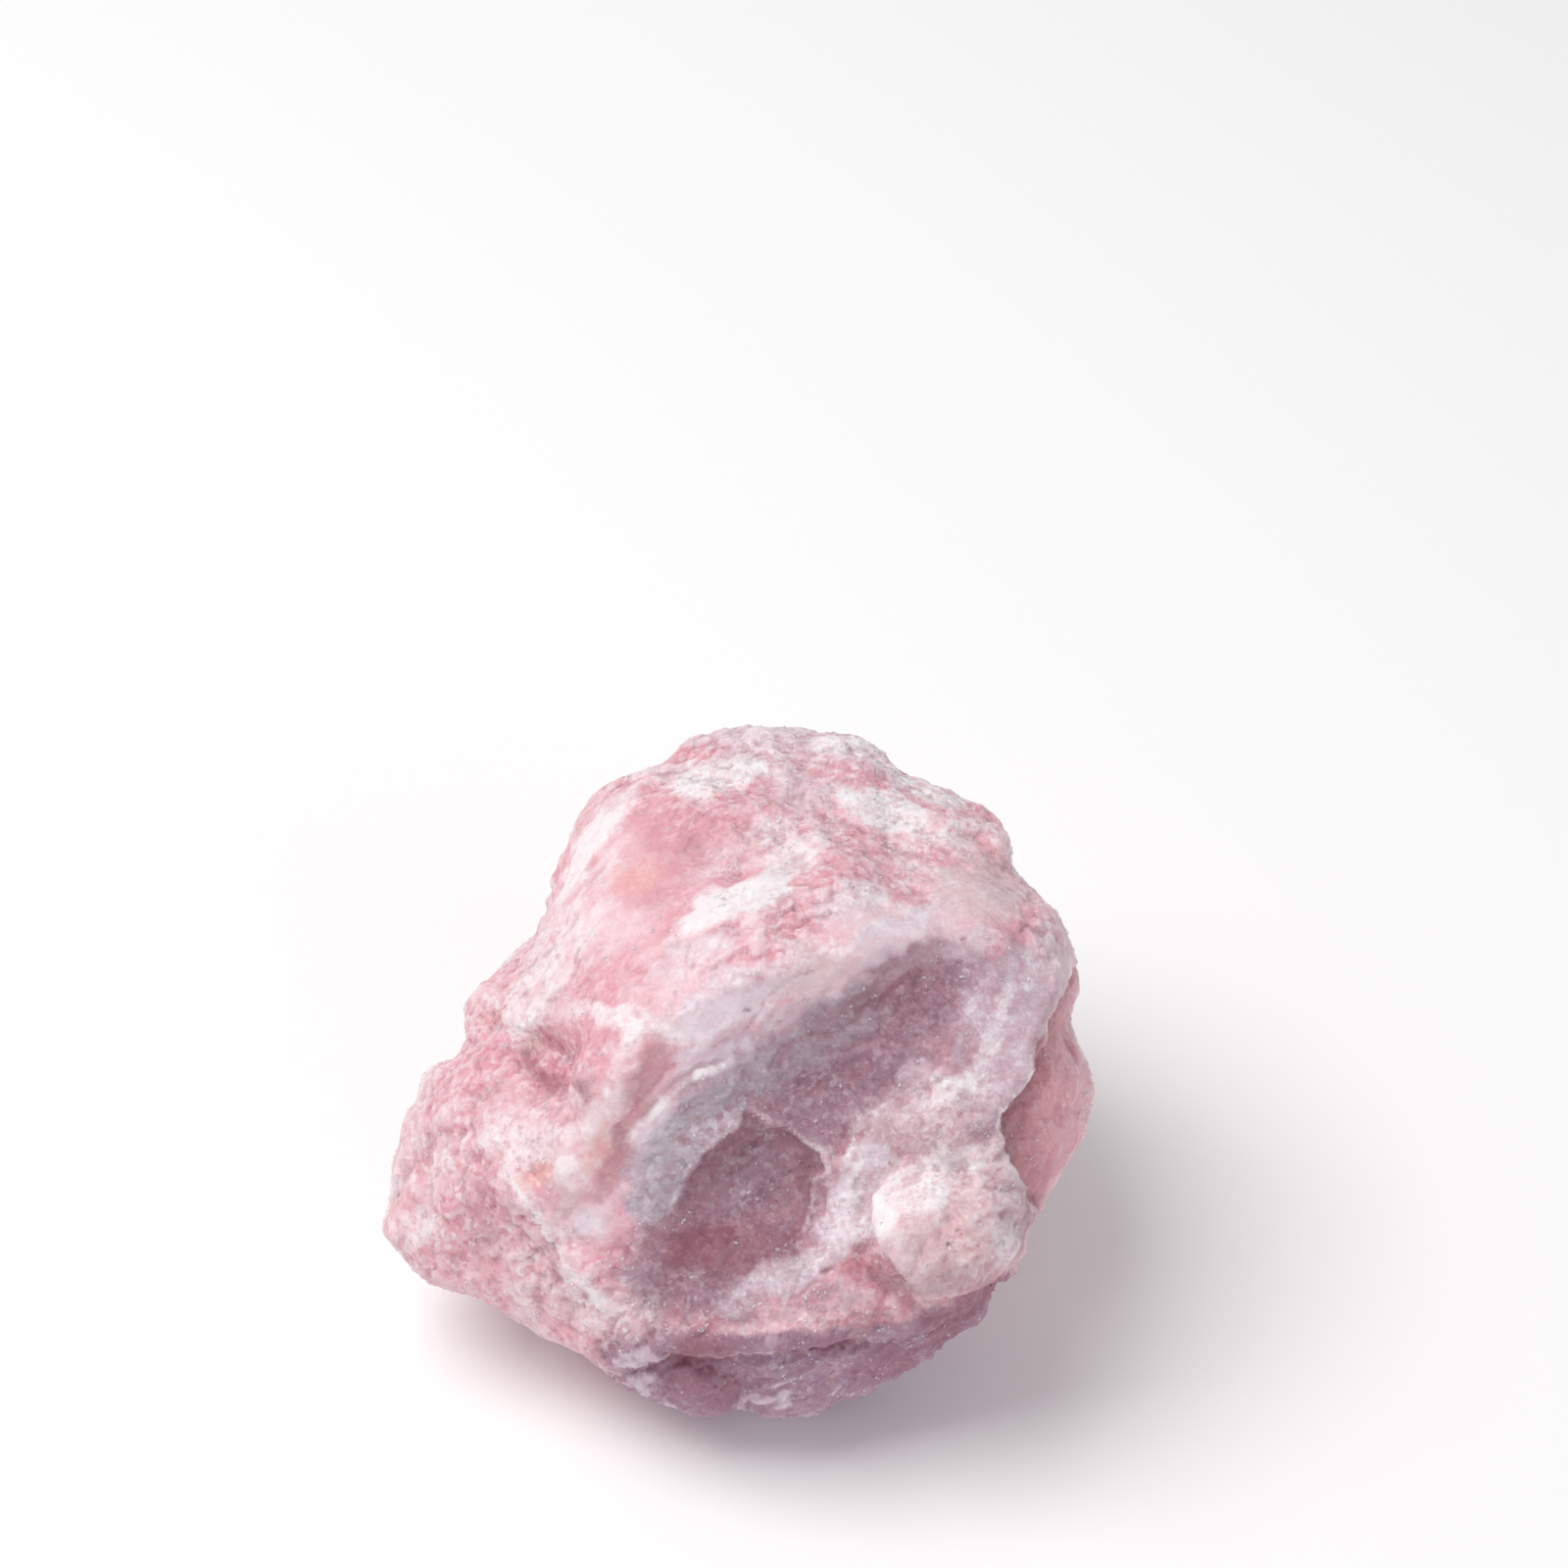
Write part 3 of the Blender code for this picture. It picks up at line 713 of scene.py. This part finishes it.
crust_edge = ease(0.3, 0.6, white + 0.35 * marble_fine)
film_edge = ease(0.35, 0.6, lilac + 0.3 * marble_fine)
rise += CRUST_RISE * crust_edge + FILM_RISE * film_edge * (1.0 - crust_edge)
pocket_mouth = ease(-4.0, -1.0, right) * ease(-13.0, -9.0, up)
for name, step, *reach in STEPS:
    rise += step * strip(name, *reach) * (pocket_mouth if name == "pocket" else 1.0)
rise += FIN_COMB * strip("fin", -1.9, 0.0, 0.0, 1.9) * (0.4 + 0.6 * ragged)
rise -= CRACK_DEPTH * cracks
foot_level = up / FOOT_LAYER + 0.9 * marble + 0.25 * marble_fine
rise += FOOT_LAYER_RISE * under_ledge * (0.5 + terraces(foot_level, FOOT_LAYER_WALL))
print("relief, mm: from", round(float(rise.min()), 2), "to", round(float(rise.max()), 2))

# %% Move the points, and keep the foot flat
FOOT_HOLD, FOOT_FLAT = 0.8, 0.08
finer = points + normals * (rise * ease(0.0, FOOT_HOLD, height))[:, None] * MM
finer[:, 2] = np.where(height < FOOT_FLAT, 0.0, np.maximum(finer[:, 2], 0.0))
write_points(skin, finer)
print("points on the floor:", int((finer[:, 2] == 0.0).sum()))

# %% [markdown]
# ## Hollows
#
# Shade falls in the creases of a broken stone, and its edges wear pale, so the creases get a painted shade
# and the edges a paler colour. The Geometry node's Pointiness could find them, but only in Cycles and at one
# width. A point that lies lower than the mean of its neighbours is in a hollow. Softened a little and a lot,
# that gives both the fine creases and the wide dips.

# %% Measure the hollows and store the covers
FINE_HOLLOW, WIDE_HOLLOW = 0.02, 0.008
FINE_PASSES, WIDE_PASSES = 1, 14
MOST_COVER = 1.5
points, normals = read_points(skin), read_normals(skin)
curve_in = ((neighbour_mean(points) - points) * normals).sum(axis=1) / MM
fine_hollow = soften(curve_in, FINE_PASSES) / FINE_HOLLOW
wide_hollow = soften(curve_in, WIDE_PASSES) / WIDE_HOLLOW
hollow = np.clip(0.5 + 0.25 * fine_hollow + 0.25 * wide_hollow, 0.0, 1.0)
covers = {
    "white": white, "lilac": lilac, "rose": rose, "mauve": mauve, "violet": violet, "peach": peach,
    "beige": beige, "smoky": smoky, "deep": deep, "hollow": hollow, "waxy": waxy,
}
for name, cover in (*covers.items(), ("sparkle", sparkle)):
    attribute = skin.attributes.new(name, "FLOAT", "POINT")
    attribute.data.foreach_set("value", np.clip(cover, 0.0, MOST_COVER).astype(np.float32))
for polygon in skin.polygons:
    polygon.use_smooth = True
print("mean covers:", {name: mean(cover) for name, cover in covers.items()})

# %% [markdown]
# ## Short words for nodes
#
# A finish like this one takes more than a hundred shader nodes. They could be placed by hand in the Shader
# Editor. Built in code they are quicker to change and to repeat, and a few helpers keep that code close to
# plain arithmetic: most of them add one node, wire what they are given, and hand back its result.

# %% Helpers for single nodes and arithmetic


def plug(tree, socket, value):
    """Wire another node's output to a socket, or set the socket to a plain value."""
    if isinstance(value, bpy.types.NodeSocket):
        tree.links.new(value, socket)
    else:
        socket.default_value = value


def add_node(tree, kind, settings=None, **inputs):
    """A node with its settings, and inputs by name, with a low line for a space."""
    node = tree.nodes.new(kind)
    for name, value in (settings or {}).items():
        setattr(node, name, value)
    for name, value in inputs.items():
        plug(tree, node.inputs[name.replace("_", " ")], value)
    return node


def calc(tree, operation, *values):
    node = tree.nodes.new("ShaderNodeMath")
    node.operation = operation
    for socket, value in zip(node.inputs, values):
        plug(tree, socket, value)
    return node.outputs[0]


def times(tree, first, second):
    return calc(tree, "MULTIPLY", first, second)


def lessened(tree, value, share):
    """1 where a value is 0, and less by the share where it is 1."""
    return calc(tree, "MULTIPLY_ADD", value, -share, 1.0)


def vector_calc(tree, operation, *values, **named):
    node = add_node(tree, "ShaderNodeVectorMath", {"operation": operation}, **named)
    for socket, value in zip(node.inputs, values):
        plug(tree, socket, value)
    return node.outputs["Value" if operation == "DOT_PRODUCT" else "Vector"]


print("helpers: plug, add_node, calc, times, lessened and vector_calc")

# %% Helpers for mixes, ramps, noise and node groups


def mixed(tree, factor, first, second, blend="MIX"):
    """One colour over another by a factor."""
    node = tree.nodes.new("ShaderNodeMix")
    node.data_type, node.blend_type, node.clamp_factor = "RGBA", blend, True
    for index, value in ((0, factor), (6, first), (7, second)):
        plug(tree, node.inputs[index], value)
    return node.outputs[2]


def ramp(tree, value, low, high):
    """0 below low, 1 above high, eased between."""
    smooth = {"interpolation_type": "SMOOTHSTEP"}
    return add_node(tree, "ShaderNodeMapRange", smooth, Value=value, From_Min=low, From_Max=high).outputs[0]


def cloud(tree, where, per_metre, detail, roughness=0.55, distortion=0.0):
    return add_node(tree, "ShaderNodeTexNoise", Vector=where, Scale=per_metre, Detail=detail,
                    Roughness=roughness, Distortion=distortion).outputs["Fac"]


def new_tree(name, kind, inputs, outputs):
    """A node group with named inputs (label, kind, default) and outputs (label, kind)."""
    tree = bpy.data.node_groups.new(name, kind)
    for label, socket_kind, default in inputs:
        socket = tree.interface.new_socket(label, in_out="INPUT", socket_type=socket_kind)
        if default is not None:
            socket.default_value = default
    for label, socket_kind in outputs:
        tree.interface.new_socket(label, in_out="OUTPUT", socket_type=socket_kind)
    return tree, tree.nodes.new("NodeGroupInput").outputs, tree.nodes.new("NodeGroupOutput").inputs


print("helpers: mixed, ramp, cloud and new_tree")

# %% [markdown]
# ## The opal's colours
#
# Rough pink opal is a pale and a deeper pink, with thin skins in other colours over them, each frayed at
# its edge where it has chipped away. That could be painted by hand, but paint needs a flat map of the whole
# surface, and its detail ends where you come close. So the pinks come from noise, and each finish is laid
# over them by its cover, frayed by the same fine noise. The lump and its loose grains share these colours,
# so they are one node group that is built once.

# %% Colours of the finishes
PINK = (0.785, 0.395, 0.455, 1.0)
PALE_PINK = (0.86, 0.645, 0.675, 1.0)
ROSE = (0.68, 0.31, 0.37, 1.0)
# Mauve and violet are partly the stone's colours and partly painted shade.
MAUVE_AND_SHADE = (0.345, 0.20, 0.262, 1.0)
VIOLET_AND_SHADE = (0.40, 0.235, 0.345, 1.0)
CRUST_WHITE = (0.93, 0.89, 0.905, 1.0)
LILAC = (0.76, 0.65, 0.72, 1.0)
# A grey painted shade for the valley above the pocket.
GREY_SHADE = (0.43, 0.365, 0.425, 1.0)
PEACH = (0.84, 0.46, 0.44, 1.0)
WORN_BEIGE = (0.74, 0.575, 0.59, 1.0)
CREASE_SHADE = (0.50, 0.25, 0.29, 1.0)
GRAIN_SHADE = (0.86, 0.66, 0.70, 1.0)
CLEFT_SHADE = (0.27, 0.08, 0.11, 1.0)
# The finishes in the order they are laid: cover, where it begins and is full, strength and colour.
# Mauve and violet here are partly painted shade, and the grey is painted shade.
FINISHES = (
    ("mauve", 0.15, 1.0, 1.0, MAUVE_AND_SHADE),
    ("violet", 0.15, 1.0, 0.8, VIOLET_AND_SHADE),
    ("rose", 0.15, 0.95, 0.9, ROSE),
    ("beige", 0.15, 0.9, 0.9, WORN_BEIGE),
    ("lilac", 0.15, 0.95, 0.9, LILAC),
    ("smoky", 0.1, 1.0, 0.9, GREY_SHADE),
    ("peach", 0.1, 1.0, 0.75, PEACH),
)
# The grains of the break: size in metres and strength.
GRAIN_SIZES = ((0.0008, 0.14), (0.00038, 0.34))
GRAIN_SHAKE = 0.0004
LAYER_RUN = tuple(np.array([layer_run[0], 0.0, 0.0]) + face_up * layer_run[1])
print("finishes:", ", ".join(finish[0] for finish in FINISHES))

# %% Layers and grains in nodes


def along_layers(tree, where, squeeze):
    """The place squeezed along the layers, so that a noise read there is drawn out along them."""
    back = times(tree, vector_calc(tree, "DOT_PRODUCT", where, LAYER_RUN), -squeeze)
    return vector_calc(tree, "ADD", where, vector_calc(tree, "SCALE", LAYER_RUN, Scale=back))


def add_grains(tree, colour, where, pale_share, deep_share):
    """Pale and deep grains of each size, as cells that a slight shake makes ragged."""
    shake = add_node(tree, "ShaderNodeTexNoise", Vector=where, Scale=2500.0, Detail=1.0).outputs["Color"]
    ragged_place = vector_calc(tree, "ADD", where, vector_calc(tree, "SCALE", shake, Scale=GRAIN_SHAKE))
    for size, strength in GRAIN_SIZES:
        cells = add_node(tree, "ShaderNodeTexVoronoi", Vector=ragged_place, Scale=1.0 / size)
        draw = add_node(tree, "ShaderNodeSeparateColor", Color=cells.outputs["Color"])
        pale = times(tree, ramp(tree, draw.outputs[0], 0.6, 0.95), pale_share)
        deep = times(tree, ramp(tree, draw.outputs[1], 0.55, 0.95), deep_share)
        colour = mixed(tree, times(tree, pale, strength), colour, CRUST_WHITE)
        colour = mixed(tree, times(tree, deep, 1.5 * strength), colour, GRAIN_SHADE, "MULTIPLY")
    return colour


print("grain sizes, mm:", [round(size / MM, 2) for size, strength in GRAIN_SIZES])

# %% The colours as one node group


def opal_colours():
    tree, given, result = new_tree(
        "opal colours", "ShaderNodeTree",
        [("Where", "NodeSocketVector", None)] + [(name, "NodeSocketFloat", 0.0) for name in covers],
        [("Color", "NodeSocketColor")],
    )
    where, hollow_here = given["Where"], given["hollow"]
    layers = along_layers(tree, where, 0.3)
    drift = cloud(tree, layers, 230.0, 3.0, 0.55, 0.3)
    veils = cloud(tree, along_layers(tree, where, 0.5), 420.0, 5.0, 0.65, 0.3)
    mottle = cloud(tree, layers, 900.0, 5.0, 0.65, 0.1)
    sugar = cloud(tree, where, 4200.0, 2.0, 0.6)
    fray = calc(tree, "SUBTRACT", calc(tree, "MULTIPLY_ADD", mottle, 0.9, times(tree, sugar, 0.3)), 0.6)

    def frayed(name, begins, full, strength=1.0):
        """The cover of a finish with its edge broken up."""
        present = ramp(tree, given[name], 0.02, 0.3)
        broken_up = calc(tree, "MULTIPLY_ADD", times(tree, fray, strength), present, given[name])
        return ramp(tree, broken_up, begins, full)

    def over(colour, cover, strength, finish):
        return mixed(tree, times(tree, cover, strength), colour, finish)

    colour = mixed(tree, ramp(tree, drift, 0.4, 0.72), PINK, PALE_PINK)
    colour = over(colour, ramp(tree, mottle, 0.5, 0.75), 0.35, ROSE)
    for name, begins, full, strength, finish in FINISHES:
        colour = over(colour, frayed(name, begins, full), strength, finish)
    pale = times(tree, lessened(tree, given["mauve"], 1.0), lessened(tree, given["rose"], 0.7))
    colour = over(colour, times(tree, ramp(tree, veils, 0.55, 0.72), pale), 0.5, CRUST_WHITE)
    colour = over(colour, frayed("white", 0.1, 1.1, 1.8), 0.9, CRUST_WHITE)
    # Painted shade in the creases.
    colour = over(colour, ramp(tree, hollow_here, 0.55, 0.95), 0.45, CREASE_SHADE)
    edges = ramp(tree, lessened(tree, hollow_here, 1.0), 0.62, 1.0)
    colour = over(colour, times(tree, edges, pale), 0.35, CRUST_WHITE)
    colour = over(colour, ramp(tree, sugar, 0.52, 0.7), 0.12, CRUST_WHITE)
    scattered = calc(tree, "MULTIPLY_ADD", ramp(tree, veils, 0.35, 0.6), 0.9, 0.35)
    grainy = times(tree, lessened(tree, given["waxy"], 0.8), scattered)
    pale_grains = times(tree, grainy, lessened(tree, given["mauve"], 0.55))
    colour = add_grains(tree, colour, where, pale_grains, grainy)
    # Painted shade in the clefts and the shaded places.
    colour = over(colour, given["deep"], 0.75, CLEFT_SHADE)
    tree.links.new(colour, result["Color"])
    return tree


colours = opal_colours()
print(colours.name, len(colours.nodes), "nodes")

# %% [markdown]
# ## The sugary break
#
# Close up, a sugary break is a pack of tiny flat facets, each turned its own way, and that is what
# glitters. Real facets would take millions of triangles, and a noise bump would look like plaster. A
# Voronoi cell gives each facet a tilt, as it does for the chips, and feeds a Bump node. The waxy places
# keep little of it.

# %% The facets as one node group
SWELL = 0.0003


def sugary_break():
    tree, given, result = new_tree(
        "sugary break", "ShaderNodeTree",
        [("Where", "NodeSocketVector", None), ("Chip", "NodeSocketFloat", 0.001),
         ("Grain", "NodeSocketFloat", 0.0003), ("Waxy", "NodeSocketFloat", 0.0)],
        [("Height", "NodeSocketFloat")],
    )
    where = given["Where"]

    def facets(size):
        """Flat facets of the given size in metres, each with its own tilt: their height in metres."""
        per_metre = calc(tree, "DIVIDE", 1.0, size)
        cells = add_node(tree, "ShaderNodeTexVoronoi", Vector=where, Scale=per_metre)
        gone = vector_calc(tree, "SUBTRACT", where, cells.outputs["Position"])
        tilt = vector_calc(tree, "SUBTRACT", cells.outputs["Color"], (0.5, 0.5, 0.5))
        return vector_calc(tree, "DOT_PRODUCT", gone, tilt)

    swell = times(tree, cloud(tree, where, 700.0, 5.0, 0.6), SWELL)
    rough = calc(tree, "ADD", times(tree, facets(given["Chip"]), 0.5), facets(given["Grain"]))
    kept = lessened(tree, given["Waxy"], 0.8)
    tree.links.new(calc(tree, "MULTIPLY_ADD", rough, kept, swell), result["Height"])
    return tree


breaks = sugary_break()
print(breaks.name, len(breaks.nodes), "nodes")

# %% [markdown]
# ## The opal's material
#
# Opal lets some light in and sends it out again near by, which softens its shades and makes it look waxy. A
# plain pink surface would look like chalk, and glass would show too much through it. The Principled
# shader's subsurface part, with a reach of under a millimetre, gives the look. Gloss is a noise round a
# mean, higher where the stone broke waxy, and the facets go in as a bump.

# %% One material for the lump and, frosted, for its grains
CHIP_SIZE, GRAIN_SIZE = 0.0011, 0.0003
FROST = (0.93, 0.79, 0.86, 1.0)


def opal_material(name, bump, roughness, frost=None):
    material = bpy.data.materials.new(name)
    material.use_nodes = True
    tree = material.node_tree
    shader = tree.nodes["Principled BSDF"]
    where = tree.nodes.new("ShaderNodeTexCoord").outputs["Object"]
    stored = {cover: add_node(tree, "ShaderNodeAttribute", {"attribute_name": cover}).outputs["Fac"]
              for cover in covers}
    paint = add_node(tree, "ShaderNodeGroup", {"node_tree": colours}, Where=where, **stored)
    colour = paint.outputs["Color"]
    if frost:
        colour = mixed(tree, frost, colour, FROST)
    facets = add_node(tree, "ShaderNodeGroup", {"node_tree": breaks}, Where=where, Chip=CHIP_SIZE,
                      Grain=GRAIN_SIZE, Waxy=stored["waxy"])
    lift = add_node(tree, "ShaderNodeBump", Strength=bump, Distance=1.0, Height=facets.outputs["Height"])
    uneven = calc(tree, "MULTIPLY_ADD", cloud(tree, where, 2600.0, 3.0), 0.35, roughness)
    dullness = calc(tree, "SUBTRACT", uneven, times(tree, stored["waxy"], 0.12))
    tree.links.new(colour, shader.inputs["Base Color"])
    tree.links.new(lift.outputs["Normal"], shader.inputs["Normal"])
    tree.links.new(dullness, shader.inputs["Roughness"])
    shader.inputs["Subsurface Weight"].default_value = 0.4
    shader.inputs["Subsurface Radius"].default_value = (1.0, 0.5, 0.5)
    shader.inputs["Subsurface Scale"].default_value = 0.0009
    shader.inputs["IOR"].default_value = 1.45
    return material


broken_opal = opal_material("broken_opal", bump=0.65, roughness=0.36)
sugar_grain = opal_material("sugar_grain", bump=0.2, roughness=0.16, frost=0.45)
skin.materials.append(broken_opal)
lump = bpy.data.objects.new("opal_lump", skin)
bpy.context.scene.collection.objects.link(lump)
print("materials:", broken_opal.name, "and", sugar_grain.name)

# %% [markdown]
# ## Loose sugar
#
# The break is strewn with tiny grains that catch the light. A loop of copies would be slow for thousands of
# them, and a particle system leaves instances, which an export drops. A Geometry Nodes tree scatters small
# blocks over the skin and makes them real in the end. They lie thickest where the sparkle cover is high,
# each is turned at random and half sunk, and it keeps the covers of the spot it sits on, so it takes the
# colour of the stone under it. A block has six faces, which is plenty at a quarter of a millimetre.

# %% A tree that strews grains
GRAIN_INPUTS = [
    ("Geometry", "NodeSocketGeometry", None), ("Density", "NodeSocketFloat", 8.0e6),
    ("Least", "NodeSocketFloat", 0.00005), ("Greatest", "NodeSocketFloat", 0.00028),
    ("Seed", "NodeSocketInt", 7), ("Material", "NodeSocketMaterial", None),
]
GRAIN_BLOCK = (1.0, 0.6, 0.4)
MOSTLY_SMALL = 2.5
TILT = math.radians(35)


def grain_tree():
    outputs = [("Geometry", "NodeSocketGeometry")]
    tree, given, result = new_tree("sugar grains", "GeometryNodeTree", GRAIN_INPUTS, outputs)
    sparkle_here = add_node(tree, "GeometryNodeInputNamedAttribute", {"data_type": "FLOAT"}, Name="sparkle")
    density = times(tree, sparkle_here.outputs["Attribute"], given["Density"])
    spots = add_node(tree, "GeometryNodeDistributePointsOnFaces", {"distribute_method": "RANDOM"},
                     Mesh=given["Geometry"], Density=density, Seed=given["Seed"])
    block = add_node(tree, "GeometryNodeMeshCube", Size=GRAIN_BLOCK)
    draw = add_node(tree, "FunctionNodeRandomValue", {"data_type": "FLOAT"}, Seed=given["Seed"]).outputs[1]
    spread = calc(tree, "SUBTRACT", given["Greatest"], given["Least"])
    size = calc(tree, "MULTIPLY_ADD", calc(tree, "POWER", draw, MOSTLY_SMALL), spread, given["Least"])
    turn = add_node(tree, "FunctionNodeRandomValue", {"data_type": "FLOAT_VECTOR"}, Seed=given["Seed"])
    turn.inputs[0].default_value, turn.inputs[1].default_value = (-TILT, -TILT, 0.0), (TILT, TILT, math.tau)
    tilted = add_node(tree, "FunctionNodeRotateRotation", {"rotation_space": "LOCAL"},
                      Rotation=spots.outputs["Rotation"], Rotate_By=turn.outputs[0])
    grains = add_node(tree, "GeometryNodeInstanceOnPoints", Points=spots.outputs["Points"],
                      Instance=block.outputs["Mesh"], Rotation=tilted.outputs["Rotation"], Scale=size)
    real = add_node(tree, "GeometryNodeRealizeInstances", Geometry=grains.outputs["Instances"])
    dressed = add_node(tree, "GeometryNodeSetMaterial", Geometry=real.outputs["Geometry"],
                       Material=given["Material"])
    tree.links.new(dressed.outputs["Geometry"], result["Geometry"])
    return tree


strewing = grain_tree()
print(strewing.name, len(strewing.nodes), "nodes")

# %% Strew the grains and make them a plain mesh
BLOCK_FACES = 6


def strewn(source, tree, name, **inputs):
    """A plain object with what the tree makes on the source mesh."""
    holder = bpy.data.objects.new("holder", source)
    bpy.context.scene.collection.objects.link(holder)
    modifier = holder.modifiers.new(tree.name, "NODES")
    modifier.node_group = tree
    for item in tree.interface.items_tree:
        if item.in_out == "INPUT" and item.name in inputs:
            modifier[item.identifier] = inputs[item.name]
    made = bpy.data.meshes.new_from_object(holder.evaluated_get(bpy.context.evaluated_depsgraph_get()))
    bpy.data.objects.remove(holder)
    made.name = name
    result = bpy.data.objects.new(name, made)
    bpy.context.scene.collection.objects.link(result)
    return result


grains = strewn(skin, strewing, "sugar_grains", Material=sugar_grain)
print("grains:", len(grains.data.polygons) // BLOCK_FACES)

# %% [markdown]
# ## Floor and light
#
# The lump stands on a plain pale floor. A bare lamp or a sun would cut hard shadows into a surface as rough
# as this one. So a large soft light hangs high on the left, which leaves the hollowed face in soft shade,
# and a weaker one low at the front right opens that shade. An even, pale sky fills the rest.

# %% A pale floor
FLOOR_SIDE = 3.0
PALE = (0.96, 0.96, 0.96, 1.0)
bpy.ops.mesh.primitive_plane_add(size=FLOOR_SIDE, location=(0.0, 0.0, 0.0))
floor = bpy.context.object
floor.name = "floor"
paper = bpy.data.materials.new("pale_paper")
paper.use_nodes = True
paper.node_tree.nodes["Principled BSDF"].inputs["Base Color"].default_value = PALE
paper.node_tree.nodes["Principled BSDF"].inputs["Roughness"].default_value = 0.9
floor.data.materials.append(paper)
print("floor, m:", FLOOR_SIDE)

# %% Two soft lights and a pale sky
TARGET = Vector((0.0, 0.0, 0.016))
# Each light: place and side in metres, power in watts, colour.
LIGHTS = {
    "key": ((-0.29, 0.00, 0.56), 0.45, 3.05, (1.0, 0.985, 0.97)),
    "fill": ((0.38, -0.38, 0.20), 0.40, 0.7, (1.0, 0.98, 1.0)),
}
SKY, SKY_STRENGTH = (0.97, 0.97, 1.0, 1.0), 0.42


def soft_light(name, place, size, power, colour):
    lamp = bpy.data.lights.new(name, "AREA")
    lamp.size, lamp.energy, lamp.color = size, power, colour
    light = bpy.data.objects.new(name, lamp)
    bpy.context.scene.collection.objects.link(light)
    light.location = place
    light.rotation_euler = (TARGET - Vector(place)).to_track_quat("-Z", "Y").to_euler()


for name, setting in LIGHTS.items():
    soft_light(name, *setting)
world = bpy.data.worlds.new("studio")
bpy.context.scene.world = world
world.use_nodes = True
world.node_tree.nodes["Background"].inputs["Color"].default_value = SKY
world.node_tree.nodes["Background"].inputs["Strength"].default_value = SKY_STRENGTH
bpy.context.scene.view_settings.view_transform = "Standard"
print("lights:", ", ".join(LIGHTS))

# %% [markdown]
# ## The camera
#
# The best face leans back by 45 degrees, so a camera that looks down at 45 degrees sees it square on, and
# what was given as right and up on the face is right and up in the frame. A near, wide camera would swell
# the middle of the lump, so this one is long and stands well back. It is turned, not shifted, until the
# face's origin falls on its place in the frame.

# %% A camera square to the best face
LENS, SENSOR, FRAME_SIDE = 100.0, 36.0, 1600
FACE_AT = (751.0, 1086.0)
PIXELS_PER_MM = 15.5
FORWARD = Vector((0, 0, -1))
focal = FRAME_SIDE * LENS / SENSOR
camera_data = bpy.data.cameras.new("camera")
camera_data.lens, camera_data.sensor_width = LENS, SENSOR
camera = bpy.data.objects.new("camera", camera_data)
bpy.context.scene.collection.objects.link(camera)
back = Vector(face_out)
eye = Vector(face_origin * MM) + back * (focal / PIXELS_PER_MM * MM)
off_right, off_up = FACE_AT[0] - FRAME_SIDE / 2, FRAME_SIDE / 2 - FACE_AT[1]
towards = Vector((off_right / focal, off_up / focal, -1.0)).normalized()
turn = (-back).to_track_quat("-Z", "Y").to_matrix() @ towards.rotation_difference(FORWARD).to_matrix()
camera.matrix_world = Matrix.Translation(eye) @ turn.to_4x4()
bpy.context.scene.camera = camera
print("camera distance, mm:", round(focal / PIXELS_PER_MM, 1))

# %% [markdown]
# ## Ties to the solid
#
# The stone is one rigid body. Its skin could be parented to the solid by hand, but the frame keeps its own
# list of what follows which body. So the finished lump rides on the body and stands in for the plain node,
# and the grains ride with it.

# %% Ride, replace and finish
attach(lump, "root")
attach(grains, "root")
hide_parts("pink_opal")
print("on the body:", lump.name, "and", grains.name)
